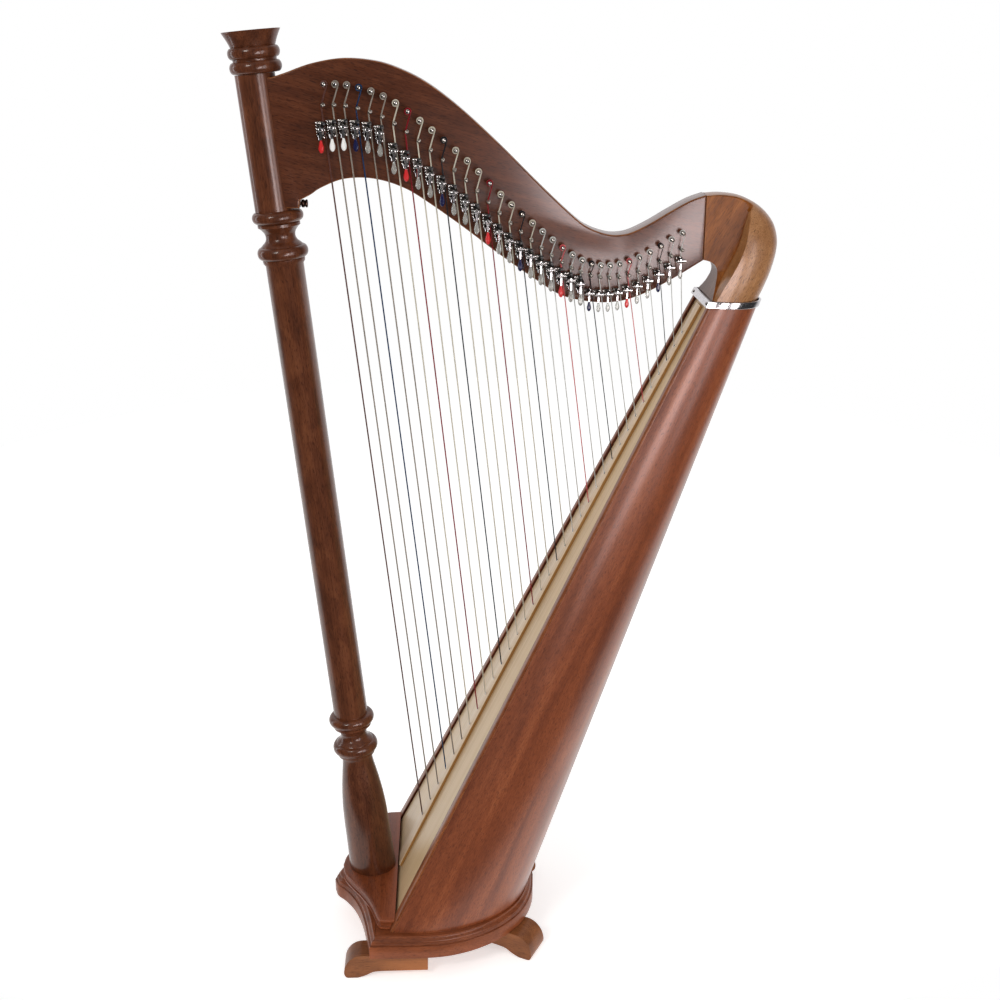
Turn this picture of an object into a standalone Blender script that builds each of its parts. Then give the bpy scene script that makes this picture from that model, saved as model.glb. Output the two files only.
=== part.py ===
"""Lever harp with 34 strings, as an assembly of separate pieces.

Metres, +Z up, floor at z = 0. The strings and the pillar lie in the plane y = 0,
the pillar is at -X, the soundbox at +X, and the levers are on the -Y side of the neck.
"""

import math

import bmesh
import bpy
from mathutils import Vector

MM = 0.001
GAP = 0.3 * MM

# Pillar: a turned column that leans back from its foot.
PILLAR_FOOT = Vector((-0.235, 0.0, 0.098))
PILLAR_LEAN = math.radians(5.27)
PILLAR_SIDES = 20
PILLAR_TOP = 1.320
CAPITAL_TOP = 1.378
SHAFT_RADIUS = 28.0 * MM
NECK_END_RADIUS = 28.5 * MM
NECK_END_SHIFT = -3.0 * MM
UPPER_BEADS = 1.1205
LOWER_BEADS = 0.2887
BOLT_Z = 1.2322

# Base.
FOOT_HEIGHT = 43.0 * MM
PLATE_TOP = 80.0 * MM
PLINTH_TOP = 98.0 * MM
PLINTH_HALF = 161.0 * MM
FRONT_NOSE = Vector((-0.276, 0.179))
FRONT_FOOT_LONG = 138.0 * MM
FRONT_FOOT_WIDE = 40.0 * MM
REAR_NOSE = Vector((0.034, 0.150))
REAR_SPLAY = math.radians(28.0)
REAR_FOOT_LONG = 135.0 * MM
REAR_FOOT_WIDE = 52.0 * MM

# Soundboard plane: its lower end, its slope, and how the box tapers along it.
BOARD_FOOT = Vector((-0.185, 0.0, 0.0988))
BOARD_SLOPE = math.radians(63.94)
BOARD_LENGTH = 1.096
HALF_WIDTH_LOW = 167.0 * MM
HALF_WIDTH_TAPER = 0.0976
BOARD_HALF_LOW = 143.0 * MM
BOARD_HALF_TAPER = 0.0885
DEPTH_LOW = 216.0 * MM
DEPTH_TAPER = 0.1270
SHELL_WALL = 9.0 * MM
BOARD_THICK = 5.0 * MM
BOARD_BELLY = 4.4 * MM
RIB_HEIGHT = 5.5 * MM
EDGE_STRIP_HEIGHT = 4.5 * MM

# Collar between the soundbox and the shoulder, slightly lower at the back.
COLLAR_POINT = Vector((0.291, 0.0, 1.085))
COLLAR_FALL = 0.055
COLLAR_HEIGHT = 10.0 * MM
COLLAR_PROUD = 3.0 * MM
COLLAR_WALL = 3.0 * MM
COLLAR_SCREW_INSET = 7.0 * MM

# Neck, strings and their fittings.
NECK_HALF = 22.0 * MM
STRING_COUNT = 34
PIN_RADIUS = 3.2 * MM
PIN_NEAR_END = -0.046
PIN_FAR_END = 0.040
BRIDGE_RADIUS = 2.4 * MM
BRIDGE_END = -0.037
STRING_AT_PIN = -0.038
STRING_AT_BRIDGE = -0.0315
LEVER_AXIS_Y = -0.0392

BOARD_UP = Vector((math.cos(BOARD_SLOPE), 0.0, math.sin(BOARD_SLOPE)))
BOARD_OUT = Vector((-math.sin(BOARD_SLOPE), 0.0, math.cos(BOARD_SLOPE)))
PILLAR_UP = Vector((-math.sin(PILLAR_LEAN), 0.0, math.cos(PILLAR_LEAN)))
PILLAR_RIGHT = Vector((math.cos(PILLAR_LEAN), 0.0, math.sin(PILLAR_LEAN)))

# Colour (linear RGB), roughness and metallic value of each finish.
FINISHES = {
    "dark_wood": ((0.075, 0.022, 0.011), 0.32, 0.0),
    "red_wood": ((0.165, 0.052, 0.028), 0.35, 0.0),
    "gold_wood": ((0.240, 0.100, 0.040), 0.35, 0.0),
    "spruce": ((0.560, 0.360, 0.150), 0.45, 0.0),
    "inner_wood": ((0.420, 0.280, 0.150), 0.70, 0.0),
    "chrome": ((0.800, 0.800, 0.820), 0.12, 1.0),
    "black_metal": ((0.020, 0.020, 0.022), 0.35, 1.0),
    "string": ((0.700, 0.640, 0.500), 0.35, 0.0),
    "lever_red": ((0.600, 0.015, 0.015), 0.30, 0.0),
    "lever_blue": ((0.010, 0.020, 0.180), 0.30, 0.0),
    "lever_white": ((0.800, 0.790, 0.740), 0.30, 0.0),
    "lever_clear": ((0.520, 0.530, 0.500), 0.15, 0.0),
}


def clear_scene():
    for old in list(bpy.data.objects):
        bpy.data.objects.remove(old, do_unlink=True)


def paint(obj, finish):
    """Give an object a material of its own in one of the finishes."""
    colour, roughness, metallic = FINISHES[finish]
    material = bpy.data.materials.new(obj.name + "_" + finish)
    material.use_nodes = True
    shader = material.node_tree.nodes["Principled BSDF"]
    shader.inputs["Base Color"].default_value = (*colour, 1.0)
    shader.inputs["Roughness"].default_value = roughness
    shader.inputs["Metallic"].default_value = metallic
    obj.data.materials.clear()
    obj.data.materials.append(material)


def add_mesh(name, points, faces, finish, smooth=True):
    """Make one object from points and faces, with its faces turned outward."""
    mesh = bpy.data.meshes.new(name)
    mesh.from_pydata([tuple(point) for point in points], [], faces)
    mesh.validate()
    body = bmesh.new()
    body.from_mesh(mesh)
    bmesh.ops.recalc_face_normals(body, faces=body.faces)
    body.to_mesh(mesh)
    body.free()
    obj = bpy.data.objects.new(name, mesh)
    bpy.context.collection.objects.link(obj)
    for polygon in mesh.polygons:
        polygon.use_smooth = smooth
    paint(obj, finish)
    return obj


def loft_parts(rings, first=0):
    """Points and faces of a closed body through rings of equal length."""
    count = len(rings[0])
    points = [point for ring in rings for point in ring]
    faces = []
    for level in range(len(rings) - 1):
        low = first + level * count
        for side in range(count):
            step = (side + 1) % count
            faces.append((low + side, low + step, low + count + step, low + count + side))
    faces.append(tuple(first + side for side in reversed(range(count))))
    top = first + (len(rings) - 1) * count
    faces.append(tuple(top + side for side in range(count)))
    return points, faces


def loft(name, rings, finish, smooth=True):
    points, faces = loft_parts(rings)
    return add_mesh(name, points, faces, finish, smooth)


def loft_many(name, bodies, finish):
    """One mesh of several lofted bodies, for a cutter or a union."""
    points = []
    faces = []
    for rings in bodies:
        more_points, more_faces = loft_parts(rings, len(points))
        points += more_points
        faces += more_faces
    return add_mesh(name, points, faces, finish, smooth=False)


def combine(obj, other, operation, self_overlaps=False):
    """Cut one object with another, or join them, with a Boolean modifier."""
    modifier = obj.modifiers.new(operation.lower() + "_" + other.name, "BOOLEAN")
    modifier.operation = operation
    modifier.object = other
    modifier.solver = "EXACT"
    modifier.use_self = self_overlaps
    evaluated = obj.evaluated_get(bpy.context.evaluated_depsgraph_get())
    mesh = bpy.data.meshes.new_from_object(evaluated)
    obj.modifiers.clear()
    materials = list(obj.data.materials)
    obj.data = mesh
    mesh.materials.clear()
    for material in materials:
        mesh.materials.append(material)
    for polygon in mesh.polygons:
        polygon.material_index = 0
    bpy.data.objects.remove(other, do_unlink=True)


def soften(obj, width, segments=1, angle=30.0):
    """Round an object's sharp edges."""
    bevel = obj.modifiers.new("softened_edges", "BEVEL")
    bevel.width = width
    bevel.segments = segments
    bevel.limit_method = "ANGLE"
    bevel.angle_limit = math.radians(angle)
    evaluated = obj.evaluated_get(bpy.context.evaluated_depsgraph_get())
    mesh = bpy.data.meshes.new_from_object(evaluated)
    obj.modifiers.clear()
    obj.data = mesh


def shade_edges(obj, angle=35.0):
    """Smooth shading with crisp edges where faces meet at more than the angle."""
    mesh = obj.data
    for polygon in mesh.polygons:
        polygon.use_smooth = True
    mesh.set_sharp_from_angle(angle=math.radians(angle))


def through(stations, position):
    """Value of the smooth curve through (place, value) stations at a position."""
    places = [station[0] for station in stations]
    values = [station[1] for station in stations]
    last = len(stations) - 1
    index = 0
    while index < last - 1 and position > places[index + 1]:
        index += 1

    def slope(at):
        low = max(at - 1, 0)
        high = min(at + 1, last)
        return (values[high] - values[low]) / (places[high] - places[low])

    span = places[index + 1] - places[index]
    share = min(max((position - places[index]) / span, 0.0), 1.0)
    square = share * share
    cube = square * share
    return (
        (2 * cube - 3 * square + 1) * values[index]
        + (cube - 2 * square + share) * span * slope(index)
        + (3 * square - 2 * cube) * values[index + 1]
        + (cube - square) * span * slope(index + 1)
    )


def smooth_path(corners, steps):
    """Points of a smooth open curve through corners, with equal steps in each span."""
    path = []
    for coordinate in range(len(corners[0])):
        stations = [(index, corner[coordinate]) for index, corner in enumerate(corners)]
        count = (len(corners) - 1) * steps
        path.append([through(stations, index / steps) for index in range(count + 1)])
    return list(zip(*path))


def inset_outline(outline, distance):
    """A closed plan outline moved inward by a distance, anticlockwise or clockwise."""
    area = sum(
        a[0] * b[1] - b[0] * a[1] for a, b in zip(outline, outline[1:] + outline[:1])
    )
    turn = 1.0 if area > 0 else -1.0
    moved = []
    for index, here in enumerate(outline):
        before = Vector(outline[index - 1])
        after = Vector(outline[(index + 1) % len(outline)])
        here = Vector(here)
        edge_in = (here - before).normalized()
        edge_out = (after - here).normalized()
        normal_in = Vector((-edge_in.y, edge_in.x)) * turn
        normal_out = Vector((-edge_out.y, edge_out.x)) * turn
        middle = (normal_in + normal_out).normalized()
        reach = distance / max(middle.dot(normal_in), 0.5)
        moved.append(tuple(here + middle * reach))
    return moved


# ---------------------------------------------------------------- turned pieces


def pillar_point(along, radius, angle):
    side = PILLAR_RIGHT * math.cos(angle) + Vector((0.0, 1.0, 0.0)) * math.sin(angle)
    return PILLAR_FOOT + PILLAR_UP * along + side * radius


def pillar_ring(along, radius, shift=0.0):
    angles = [math.tau * side / PILLAR_SIDES for side in range(PILLAR_SIDES)]
    return [pillar_point(along, radius, angle) + PILLAR_RIGHT * shift for angle in angles]


def bead(centre, radius, half_height, root):
    """Profile of a half-round bead that rises from the root radius."""
    profile = []
    for step in range(6):
        angle = math.pi * (step / 5 - 0.5)
        profile.append((centre + half_height * math.sin(angle), root + (radius - root) * math.cos(angle)))
    return profile


def bead_pair(top):
    """Two beads with a hollow between them; top is the middle of the upper bead."""
    low = top - 51.8 * MM
    profile = [(low - 14.5 * MM, 30.8 * MM)]
    profile += bead(low, 37.4 * MM, 9.0 * MM, 31.0 * MM)
    profile += [(low + 10.0 * MM, 30.5 * MM), (low + 13.0 * MM, 27.5 * MM)]
    profile += [(low + 17.0 * MM, 23.5 * MM), (low + 22.5 * MM, 21.7 * MM)]
    profile += [(low + 29.0 * MM, 23.0 * MM), (low + 35.0 * MM, 27.5 * MM)]
    profile += [(low + 38.0 * MM, 31.2 * MM), (low + 42.0 * MM, 31.2 * MM)]
    profile += bead(top, 37.6 * MM, 8.5 * MM, 30.0 * MM)
    return profile


def turned(name, profile, finish):
    """A round body on the pillar's axis; the profile is a list of (along, radius)."""
    rings = [pillar_ring(along, radius) for along, radius in profile]
    obj = loft(name, rings, finish)
    shade_edges(obj)
    return obj


def make_pillar():
    """The column; its head, which the neck wraps, is set a little forward of the axis."""
    vase = [(10.0, 39.7), (28.0, 38.9), (60.0, 38.2), (90.0, 37.8), (120.0, 36.8), (146.0, 34.6)]
    vase += [(170.0, 31.6), (190.0, 28.4), (206.0, 25.9), (216.0, 25.3), (221.0, 26.5)]
    profile = [(along * MM, radius * MM) for along, radius in vase]
    profile += bead_pair(LOWER_BEADS)
    profile += [(LOWER_BEADS + 9.0 * MM, SHAFT_RADIUS), (UPPER_BEADS - 70.0 * MM, SHAFT_RADIUS)]
    profile += bead_pair(UPPER_BEADS)
    rings = [pillar_ring(along, radius) for along, radius in profile]
    for along in (UPPER_BEADS + 9.0 * MM, PILLAR_TOP):
        rings.append(pillar_ring(along, NECK_END_RADIUS, NECK_END_SHIFT))
    for along in (PILLAR_TOP, PILLAR_TOP + 19.0 * MM):
        rings.append(pillar_ring(along, 12.0 * MM))
    foot = []
    for point in pillar_ring(0.0, 39.7 * MM):
        rise = PLINTH_TOP + GAP - point.z
        foot.append(point + PILLAR_UP * (rise / PILLAR_UP.z))
    obj = loft("pillar", [foot] + rings, "dark_wood")
    combine(obj, bolt_body("pillar_bolt_bore", 3.6 * MM, -0.352, -0.300), "DIFFERENCE")
    shade_edges(obj)


def make_capital():
    start = PILLAR_TOP + GAP
    profile = [(start + 20.0 * MM, 12.4 * MM), (start, 12.4 * MM), (start, 27.0 * MM)]
    profile += bead(1.3290, 37.0 * MM, 8.3 * MM, 31.0 * MM)
    profile += [(1.3396, 31.0 * MM)]
    profile += bead(1.3486, 36.9 * MM, 8.0 * MM, 31.5 * MM)
    profile += [(1.3576, 32.0 * MM), (1.3640, 33.8 * MM), (1.3710, 36.9 * MM)]
    profile += [(CAPITAL_TOP - 1.5 * MM, 40.6 * MM), (CAPITAL_TOP, 41.4 * MM)]
    profile += [(CAPITAL_TOP, 38.0 * MM), (CAPITAL_TOP - 1.5 * MM, 30.0 * MM)]
    turned("capital", profile, "dark_wood")


def bolt_body(name, radius, start, end, sides=8, extra=None):
    """A round bar along X under the neck, for the pillar bolt or its bore."""
    rings = []
    for x, scale in [(start, 1.0), (end, 1.0)] + (extra or []):
        ring = []
        for side in range(sides):
            angle = math.tau * (side + 0.5) / sides
            across = radius * scale * math.cos(angle)
            ring.append(Vector((x, across, BOLT_Z + radius * scale * math.sin(angle))))
        rings.append(ring)
    return loft(name, rings, "black_metal")


def make_pillar_bolt():
    head = [(-0.3020, 1.90), (-0.2990, 2.00), (-0.2980, 1.60), (-0.2962, 1.60), (-0.2954, 2.00)]
    head += [(-0.2938, 1.90), (-0.2930, 1.40)]
    obj = bolt_body("pillar_bolt", 3.0 * MM, -0.351, -0.3020, sides=12, extra=head)
    shade_edges(obj)


# ------------------------------------------------------------------------- base


def base_outline(points):
    """A plan outline from its near half: smooth stretches joined at corners."""
    near = []
    for stretch in points:
        near += smooth_path(stretch, 2) if len(stretch) > 2 else list(stretch)
    outline = []
    for x, y in near:
        if not outline or (Vector(outline[-1]) - Vector((x, y))).length > 1.0 * MM:
            outline.append((x, y))
    far = [(x, -y) for x, y in reversed(outline) if abs(y) > 1.0 * MM]
    return outline + far


def level(outline, z):
    return [Vector((x, y, z)) for x, y in outline]


PLATE_PLAN = [
    [(-0.302, 0.0), (-0.296, -0.018), (-0.281, -0.035), (-0.265, -0.060), (-0.252, -0.092),
     (-0.243, -0.128), (-0.237, -0.160), (-0.232, -0.188)],
    [(-0.232, -0.188), (-0.134, -0.189), (-0.082, -0.180), (-0.035, -0.158), (0.002, -0.127),
     (0.026, -0.093), (0.041, -0.050), (0.046, 0.0)],
]
PLINTH_PLAN = [
    [(-0.287, 0.0), (-0.283, -0.024), (-0.271, -0.047), (-0.253, -0.074), (-0.237, -0.103),
     (-0.227, -0.130), (-0.221, -0.150)],
    [(-0.216, -0.159), (-0.207, -0.161)],
]


def make_base_plate():
    outline = base_outline(PLATE_PLAN)
    steps = [(FOOT_HEIGHT + GAP, 0.0), (66.0 * MM, 0.0), (68.0 * MM, 3.0 * MM), (70.5 * MM, 3.0 * MM)]
    steps += [(73.0 * MM, 4.2 * MM), (76.0 * MM, 7.4 * MM), (77.6 * MM, 8.6 * MM), (PLATE_TOP, 9.4 * MM)]
    rings = [level(inset_outline(outline, inset), z) for z, inset in steps]
    obj = loft("base_plate", rings, "red_wood")
    shade_edges(obj)


def make_pillar_plinth():
    """The raised step under the pillar; its back edge leans with the soundboard."""
    outline = base_outline(PLINTH_PLAN)
    steps = [(PLATE_TOP + GAP, 0.0), (PLATE_TOP + 3.0 * MM, 0.0), (PLATE_TOP + 6.0 * MM, 2.2 * MM)]
    steps += [(PLATE_TOP + 10.0 * MM, 2.6 * MM), (PLATE_TOP + 14.0 * MM, 0.8 * MM)]
    steps += [(PLATE_TOP + 16.5 * MM, 1.4 * MM), (PLINTH_TOP, 3.6 * MM)]
    rings = []
    for z, inset in steps:
        back = BOARD_FOOT.x + (z - BOARD_FOOT.z) / math.tan(BOARD_SLOPE)
        back -= (EDGE_STRIP_HEIGHT + 2.0 * GAP) / math.sin(BOARD_SLOPE)
        ring = level(inset_outline(outline, inset), z)
        near = [point for point in ring if point.y <= 0.0]
        far = [point for point in ring if point.y > 0.0]
        edge = PLINTH_HALF - inset
        rings.append(near + [Vector((back, -edge, z)), Vector((back, edge, z))] + far)
    obj = loft("pillar_plinth", rings, "red_wood")
    shade_edges(obj)


def foot_ring(length, y):
    """Side outline of a foot: round nose at the front, its heel clear of the floor."""
    top = FOOT_HEIGHT
    outline = [(length, top), (length, 12.0 * MM), (62.0 * MM, 12.0 * MM), (48.0 * MM, 10.5 * MM)]
    outline += [(36.0 * MM, 4.5 * MM), (24.0 * MM, 0.5 * MM), (22.0 * MM, 0.0), (7.0 * MM, 0.0)]
    outline += [(2.5 * MM, 2.5 * MM), (0.0, 9.0 * MM)]
    for step in range(1, 7):
        angle = math.pi / 2 * step / 6
        across = 30.0 * MM * (1.0 - math.cos(angle))
        outline.append((across, 9.0 * MM + (top - 9.0 * MM) * math.sin(angle)))
    return [Vector((x, y, z)) for x, z in outline]


def make_foot(name, corner, heading, length, width, inner_side):
    """A foot whose nose starts at corner and whose body runs along heading."""
    sides = (0.0, width * inner_side)
    obj = loft(name, [foot_ring(length, y) for y in sides], "gold_wood")
    soften(obj, 1.2 * MM)
    obj.location = (corner[0], corner[1], 0.0)
    obj.rotation_euler = (0.0, 0.0, heading)
    shade_edges(obj)


def make_feet():
    """Front feet lie along the base; rear feet splay outward."""
    for side, name in ((-1, "left"), (1, "right")):
        corner = (FRONT_NOSE.x, side * FRONT_NOSE.y)
        make_foot("foot_front_" + name, corner, 0.0, FRONT_FOOT_LONG, FRONT_FOOT_WIDE, -side)
        corner = (REAR_NOSE.x, side * REAR_NOSE.y)
        heading = math.pi + side * REAR_SPLAY
        make_foot("foot_rear_" + name, corner, heading, REAR_FOOT_LONG, REAR_FOOT_WIDE, side)


# --------------------------------------------------------------------- soundbox

# The box's rounded back: how far it bulges past its front edges, the share of the
# depth where the curve starts, and how square the curve is.
BACK_STEPS = 8
BACK_BULGE = 1.04
BACK_START = 0.22
BACK_SIDE_POWER = 0.83
BACK_DEPTH_POWER = 1.02
RABBET_WALL = 4.5 * MM
SOUND_HOLES = ((0.30, 0.060, 0.034), (0.52, 0.055, 0.030), (0.73, 0.050, 0.026), (0.92, 0.042, 0.021))
BRACE_PLACES = (("lower", 0.410), ("middle", 0.625), ("upper", 0.830))


def half_width(along):
    return HALF_WIDTH_LOW - HALF_WIDTH_TAPER * along


def depth(along):
    return DEPTH_LOW - DEPTH_TAPER * along


def board_point(along, side, out):
    return BOARD_FOOT + BOARD_UP * along + Vector((0.0, side, 0.0)) + BOARD_OUT * out


def cut_level(point, direction, plane_z, fall=0.0, plane_x=0.0):
    """Where the line from a point along a direction meets a plane that may fall with x."""
    rise = plane_z - fall * (point.x - plane_x) - point.z
    return point + direction * (rise / (direction.z + fall * direction.x))


def round_back():
    """Half section of the box as (side, back) shares, from the front edge to the middle."""
    shares = [(1.0, 0.0), (1.02, 0.08), (1.034, 0.15)]
    for step in range(BACK_STEPS + 1):
        angle = math.pi / 2 * step / BACK_STEPS
        side = BACK_BULGE * math.cos(angle) ** BACK_SIDE_POWER
        back = BACK_START + (1.0 - BACK_START) * math.sin(angle) ** BACK_DEPTH_POWER
        shares.append((side if step < BACK_STEPS else 0.0, back))
    return shares


def ruled_line(side_share, back_share, wall, start_back=None):
    """A straight line of the box, at its foot and one metre up the board."""
    ends = []
    for along in (0.0, 1.0):
        side = side_share * (half_width(along) - wall)
        back = back_share * (depth(along) - wall) if start_back is None else start_back
        ends.append(board_point(along, side, -back))
    return ends[0], ends[1] - ends[0]


def box_lines(wall):
    """Lines of the near and far halves of the box's section, front to back to front."""
    near = [ruled_line(-side, back, wall) for side, back in round_back()]
    far = [ruled_line(side, back, wall) for side, back in reversed(round_back()[:-1])]
    return near + far


def collar_cut(line, lift):
    return cut_level(line[0], line[1], COLLAR_POINT.z + lift, COLLAR_FALL, COLLAR_POINT.x)


def floor_cut(line, z):
    return cut_level(line[0], line[1], z)


def shell_lines():
    """Outer lines, then the rabbet for the board and the inner wall, as one loop."""
    outer = box_lines(0.0)
    ledge = BOARD_THICK + GAP
    inner = box_lines(SHELL_WALL)
    inner[0] = ruled_line(-1.0, 0.0, SHELL_WALL, ledge)
    inner[-1] = ruled_line(1.0, 0.0, SHELL_WALL, ledge)
    far = [ruled_line(1.0, 0.0, RABBET_WALL, 0.0), ruled_line(1.0, 0.0, RABBET_WALL, ledge)]
    near = [ruled_line(-1.0, 0.0, RABBET_WALL, ledge), ruled_line(-1.0, 0.0, RABBET_WALL, 0.0)]
    return outer + far + list(reversed(inner)) + near


def sound_hole(along, half_long, half_wide):
    """A long oval cutter through the back of the box at one place along it."""
    rings = []
    for back in (depth(along) - 26.0 * MM, depth(along) + 20.0 * MM):
        ring = []
        for side in range(16):
            angle = math.tau * side / 16
            up = along + half_long * math.cos(angle)
            ring.append(board_point(up, half_wide * math.sin(angle), -back))
        rings.append(ring)
    return rings


def make_soundbox_shell():
    lines = shell_lines()
    low = [floor_cut(line, PLATE_TOP + GAP) for line in lines]
    high = [collar_cut(line, -GAP) for line in lines]
    obj = loft("soundbox_shell", [low, high], "red_wood")
    cutter = loft_many("sound_hole_cutter", [sound_hole(*hole) for hole in SOUND_HOLES], "red_wood")
    combine(obj, cutter, "DIFFERENCE")
    shade_edges(obj, 25.0)


def belly(along, side_share):
    """How far the strings pull the board out; its glued edges stay flat."""
    rise = 4.0 * (along / BOARD_LENGTH) * (1.0 - along / BOARD_LENGTH)
    across = min(abs(side_share) / 0.8, 1.0)
    return BOARD_BELLY * max(rise, 0.0) * (1.0 - across * across)


def string_foot(number):
    """Distance of a string's hole up the board; number 1 is the longest string."""
    step = number - 1
    return 0.103 + 0.0331 * step - 0.000142 * step * step


def string_holes(name, low, high, half):
    """Square cutters for the string holes between two heights off the board."""
    bodies = []
    for number in range(1, STRING_COUNT + 1):
        along = string_foot(number)
        lift = belly(along, 0.0)
        rings = []
        for out in (low + lift, high + lift):
            ring = [board_point(along + half, 0.0, out), board_point(along, half, out)]
            ring += [board_point(along - half, 0.0, out), board_point(along, -half, out)]
            rings.append(ring)
        bodies.append(rings)
    return loft_many(name, bodies, "spruce")


def make_soundboard():
    rows = 9
    shares = [-1.0, -0.8, -0.55, -0.25, 0.25, 0.55, 0.8, 1.0]
    start = -0.014
    end = BOARD_LENGTH - 2.0 * MM
    rings = []
    for row in range(rows):
        along = start + (end - start) * row / (rows - 1)
        half = half_width(along) - RABBET_WALL - 0.5 * MM
        top = [board_point(along, share * half, belly(along, share)) for share in shares]
        under = [point - BOARD_OUT * BOARD_THICK for point in reversed(top)]
        rings.append(top + under)
    obj = loft("soundboard", rings, "spruce")
    combine(obj, string_holes("board_holes", -8.0 * MM, 3.0 * MM, 1.7 * MM), "DIFFERENCE")
    shade_edges(obj)


def make_string_rib():
    rows = 9
    start = 0.004
    end = BOARD_LENGTH - 6.0 * MM
    rings = []
    for row in range(rows):
        along = start + (end - start) * row / (rows - 1)
        half = 20.0 * MM - 0.006 * along
        foot = belly(along, 0.25) + 2.0 * GAP
        top = belly(along, 0.0) + RIB_HEIGHT
        ring = [board_point(along, -half, foot), board_point(along, -half, top - 1.5 * MM)]
        ring += [board_point(along, -half + 1.5 * MM, top), board_point(along, half - 1.5 * MM, top)]
        ring += [board_point(along, half, top - 1.5 * MM), board_point(along, half, foot)]
        rings.append(ring)
    obj = loft("string_rib", rings, "spruce")
    combine(obj, string_holes("rib_holes", -3.0 * MM, 9.0 * MM, 1.7 * MM), "DIFFERENCE")
    shade_edges(obj)


def strip_line(side, inward, out):
    """A line of an edge strip: a share of the way inward from the box's front edge."""
    ends = []
    for along in (0.0, 1.0):
        outer = half_width(along)
        inner = BOARD_HALF_LOW - BOARD_HALF_TAPER * along
        ends.append(board_point(along, side * (outer + (inner - outer) * inward), out))
    return ends[0], ends[1] - ends[0]


def make_edge_strips():
    """Strips over the joint between the board and the box, rounded at their outer edges."""
    top = EDGE_STRIP_HEIGHT
    section = [(1.0, GAP), (1.0, top - 0.8 * MM), (0.95, top), (0.22, top)]
    section += [(0.08, top - 0.7 * MM), (0.0, top - 2.2 * MM), (0.0, GAP)]
    for side, name in ((-1, "left"), (1, "right")):
        lines = [strip_line(side, inward, out) for inward, out in section]
        low = [floor_cut(line, PLATE_TOP + GAP) for line in lines]
        high = [collar_cut(line, -GAP) for line in lines]
        shade_edges(loft("edge_strip_" + name, [low, high], "gold_wood"), 20.0)


def make_blocks():
    """The tail block on the base and the top block under the collar, inside the box."""
    inset = SHELL_WALL + 2.0 * GAP
    lines = box_lines(inset)
    lines[0] = ruled_line(-1.0, 0.0, inset, BOARD_THICK + 1.0 * MM)
    lines[-1] = ruled_line(1.0, 0.0, inset, BOARD_THICK + 1.0 * MM)
    low = [floor_cut(line, PLATE_TOP + GAP) for line in lines]
    high = [floor_cut(line, PLATE_TOP + 32.0 * MM) for line in lines]
    shade_edges(loft("tail_block", [low, high], "inner_wood"))
    low = [collar_cut(line, -24.0 * MM) for line in lines]
    high = [collar_cut(line, -GAP) for line in lines]
    shade_edges(loft("top_block", [low, high], "inner_wood"))


def make_braces():
    """Bent ribs that line the round back between the sound holes."""
    thick = 7.0 * MM
    tall = 13.0 * MM
    for name, place in BRACE_PLACES:
        rings = []
        for along in (place - thick, place + thick):
            ring = []
            for wall, order in ((SHELL_WALL + 0.5 * MM, 1), (SHELL_WALL + tall, -1)):
                shares = round_back()[1:]
                half = [(-side, back) for side, back in shares]
                both = half + [(-side, back) for side, back in reversed(half[:-1])]
                for side, back in both[::order]:
                    across = side * (half_width(along) - wall)
                    ring.append(board_point(along, across, -back * (depth(along) - wall)))
            rings.append(ring)
        shade_edges(loft("back_brace_" + name, rings, "inner_wood"))


# ---------------------------------------------------------- collar and shoulder


def collar_ring(offset, lift):
    """Loop of the box's section, moved outward, on the collar's sloping plane."""
    lines = box_lines(-offset)
    front = EDGE_STRIP_HEIGHT + 3.5 * MM + offset - COLLAR_PROUD
    lines[0] = ruled_line(-1.0, 0.0, -offset, -front)
    lines[-1] = ruled_line(1.0, 0.0, -offset, -front)
    return [collar_cut(line, lift) for line in lines]


def make_collar_band():
    low = 0.0
    high = COLLAR_HEIGHT
    inner = COLLAR_PROUD - COLLAR_WALL
    rings = [collar_ring(inner, low), collar_ring(COLLAR_PROUD - 0.6 * MM, low)]
    rings += [collar_ring(COLLAR_PROUD, low + 0.6 * MM), collar_ring(COLLAR_PROUD, high - 0.6 * MM)]
    rings += [collar_ring(COLLAR_PROUD - 0.6 * MM, high), collar_ring(inner, high)]
    count = len(rings[0])
    points = [point for ring in rings for point in ring]
    faces = []
    for band in range(len(rings)):
        here = band * count
        there = (band + 1) % len(rings) * count
        for side in range(count):
            step = (side + 1) % count
            faces.append((here + side, here + step, there + step, there + side))
    obj = add_mesh("collar_band", points, faces, "chrome")
    for side in (-1, 1):
        bore = screw_body("screw_bore", side, [(-8.0, 1.5), (6.0, 1.5)])
        combine(obj, bore, "DIFFERENCE")
    shade_edges(obj)


def screw_body(name, side, profile):
    """A round body square to the collar's front face; profile is (out, radius) in mm."""
    corner = collar_cut(ruled_line(side, 0.0, 0.0, -(EDGE_STRIP_HEIGHT + 3.5 * MM)), COLLAR_HEIGHT / 2)
    centre = corner - Vector((0.0, side * COLLAR_SCREW_INSET, 0.0))
    rings = []
    for out, radius in profile:
        ring = []
        for step in range(10):
            angle = math.tau * step / 10
            offset = BOARD_UP * math.cos(angle) + Vector((0.0, 1.0, 0.0)) * math.sin(angle)
            ring.append(centre + BOARD_OUT * out * MM + offset * radius * MM)
        rings.append(ring)
    return loft(name, rings, "chrome")


def make_collar_screws():
    """Small dome-headed screws at the front corners of the collar."""
    profile = [(-6.0, 1.1), (0.3, 1.1), (0.3, 2.6), (1.0, 2.5), (1.7, 1.9), (2.1, 0.9)]
    for side, name in ((-1, "left"), (1, "right")):
        shade_edges(screw_body("collar_screw_" + name, side, profile))


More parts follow.
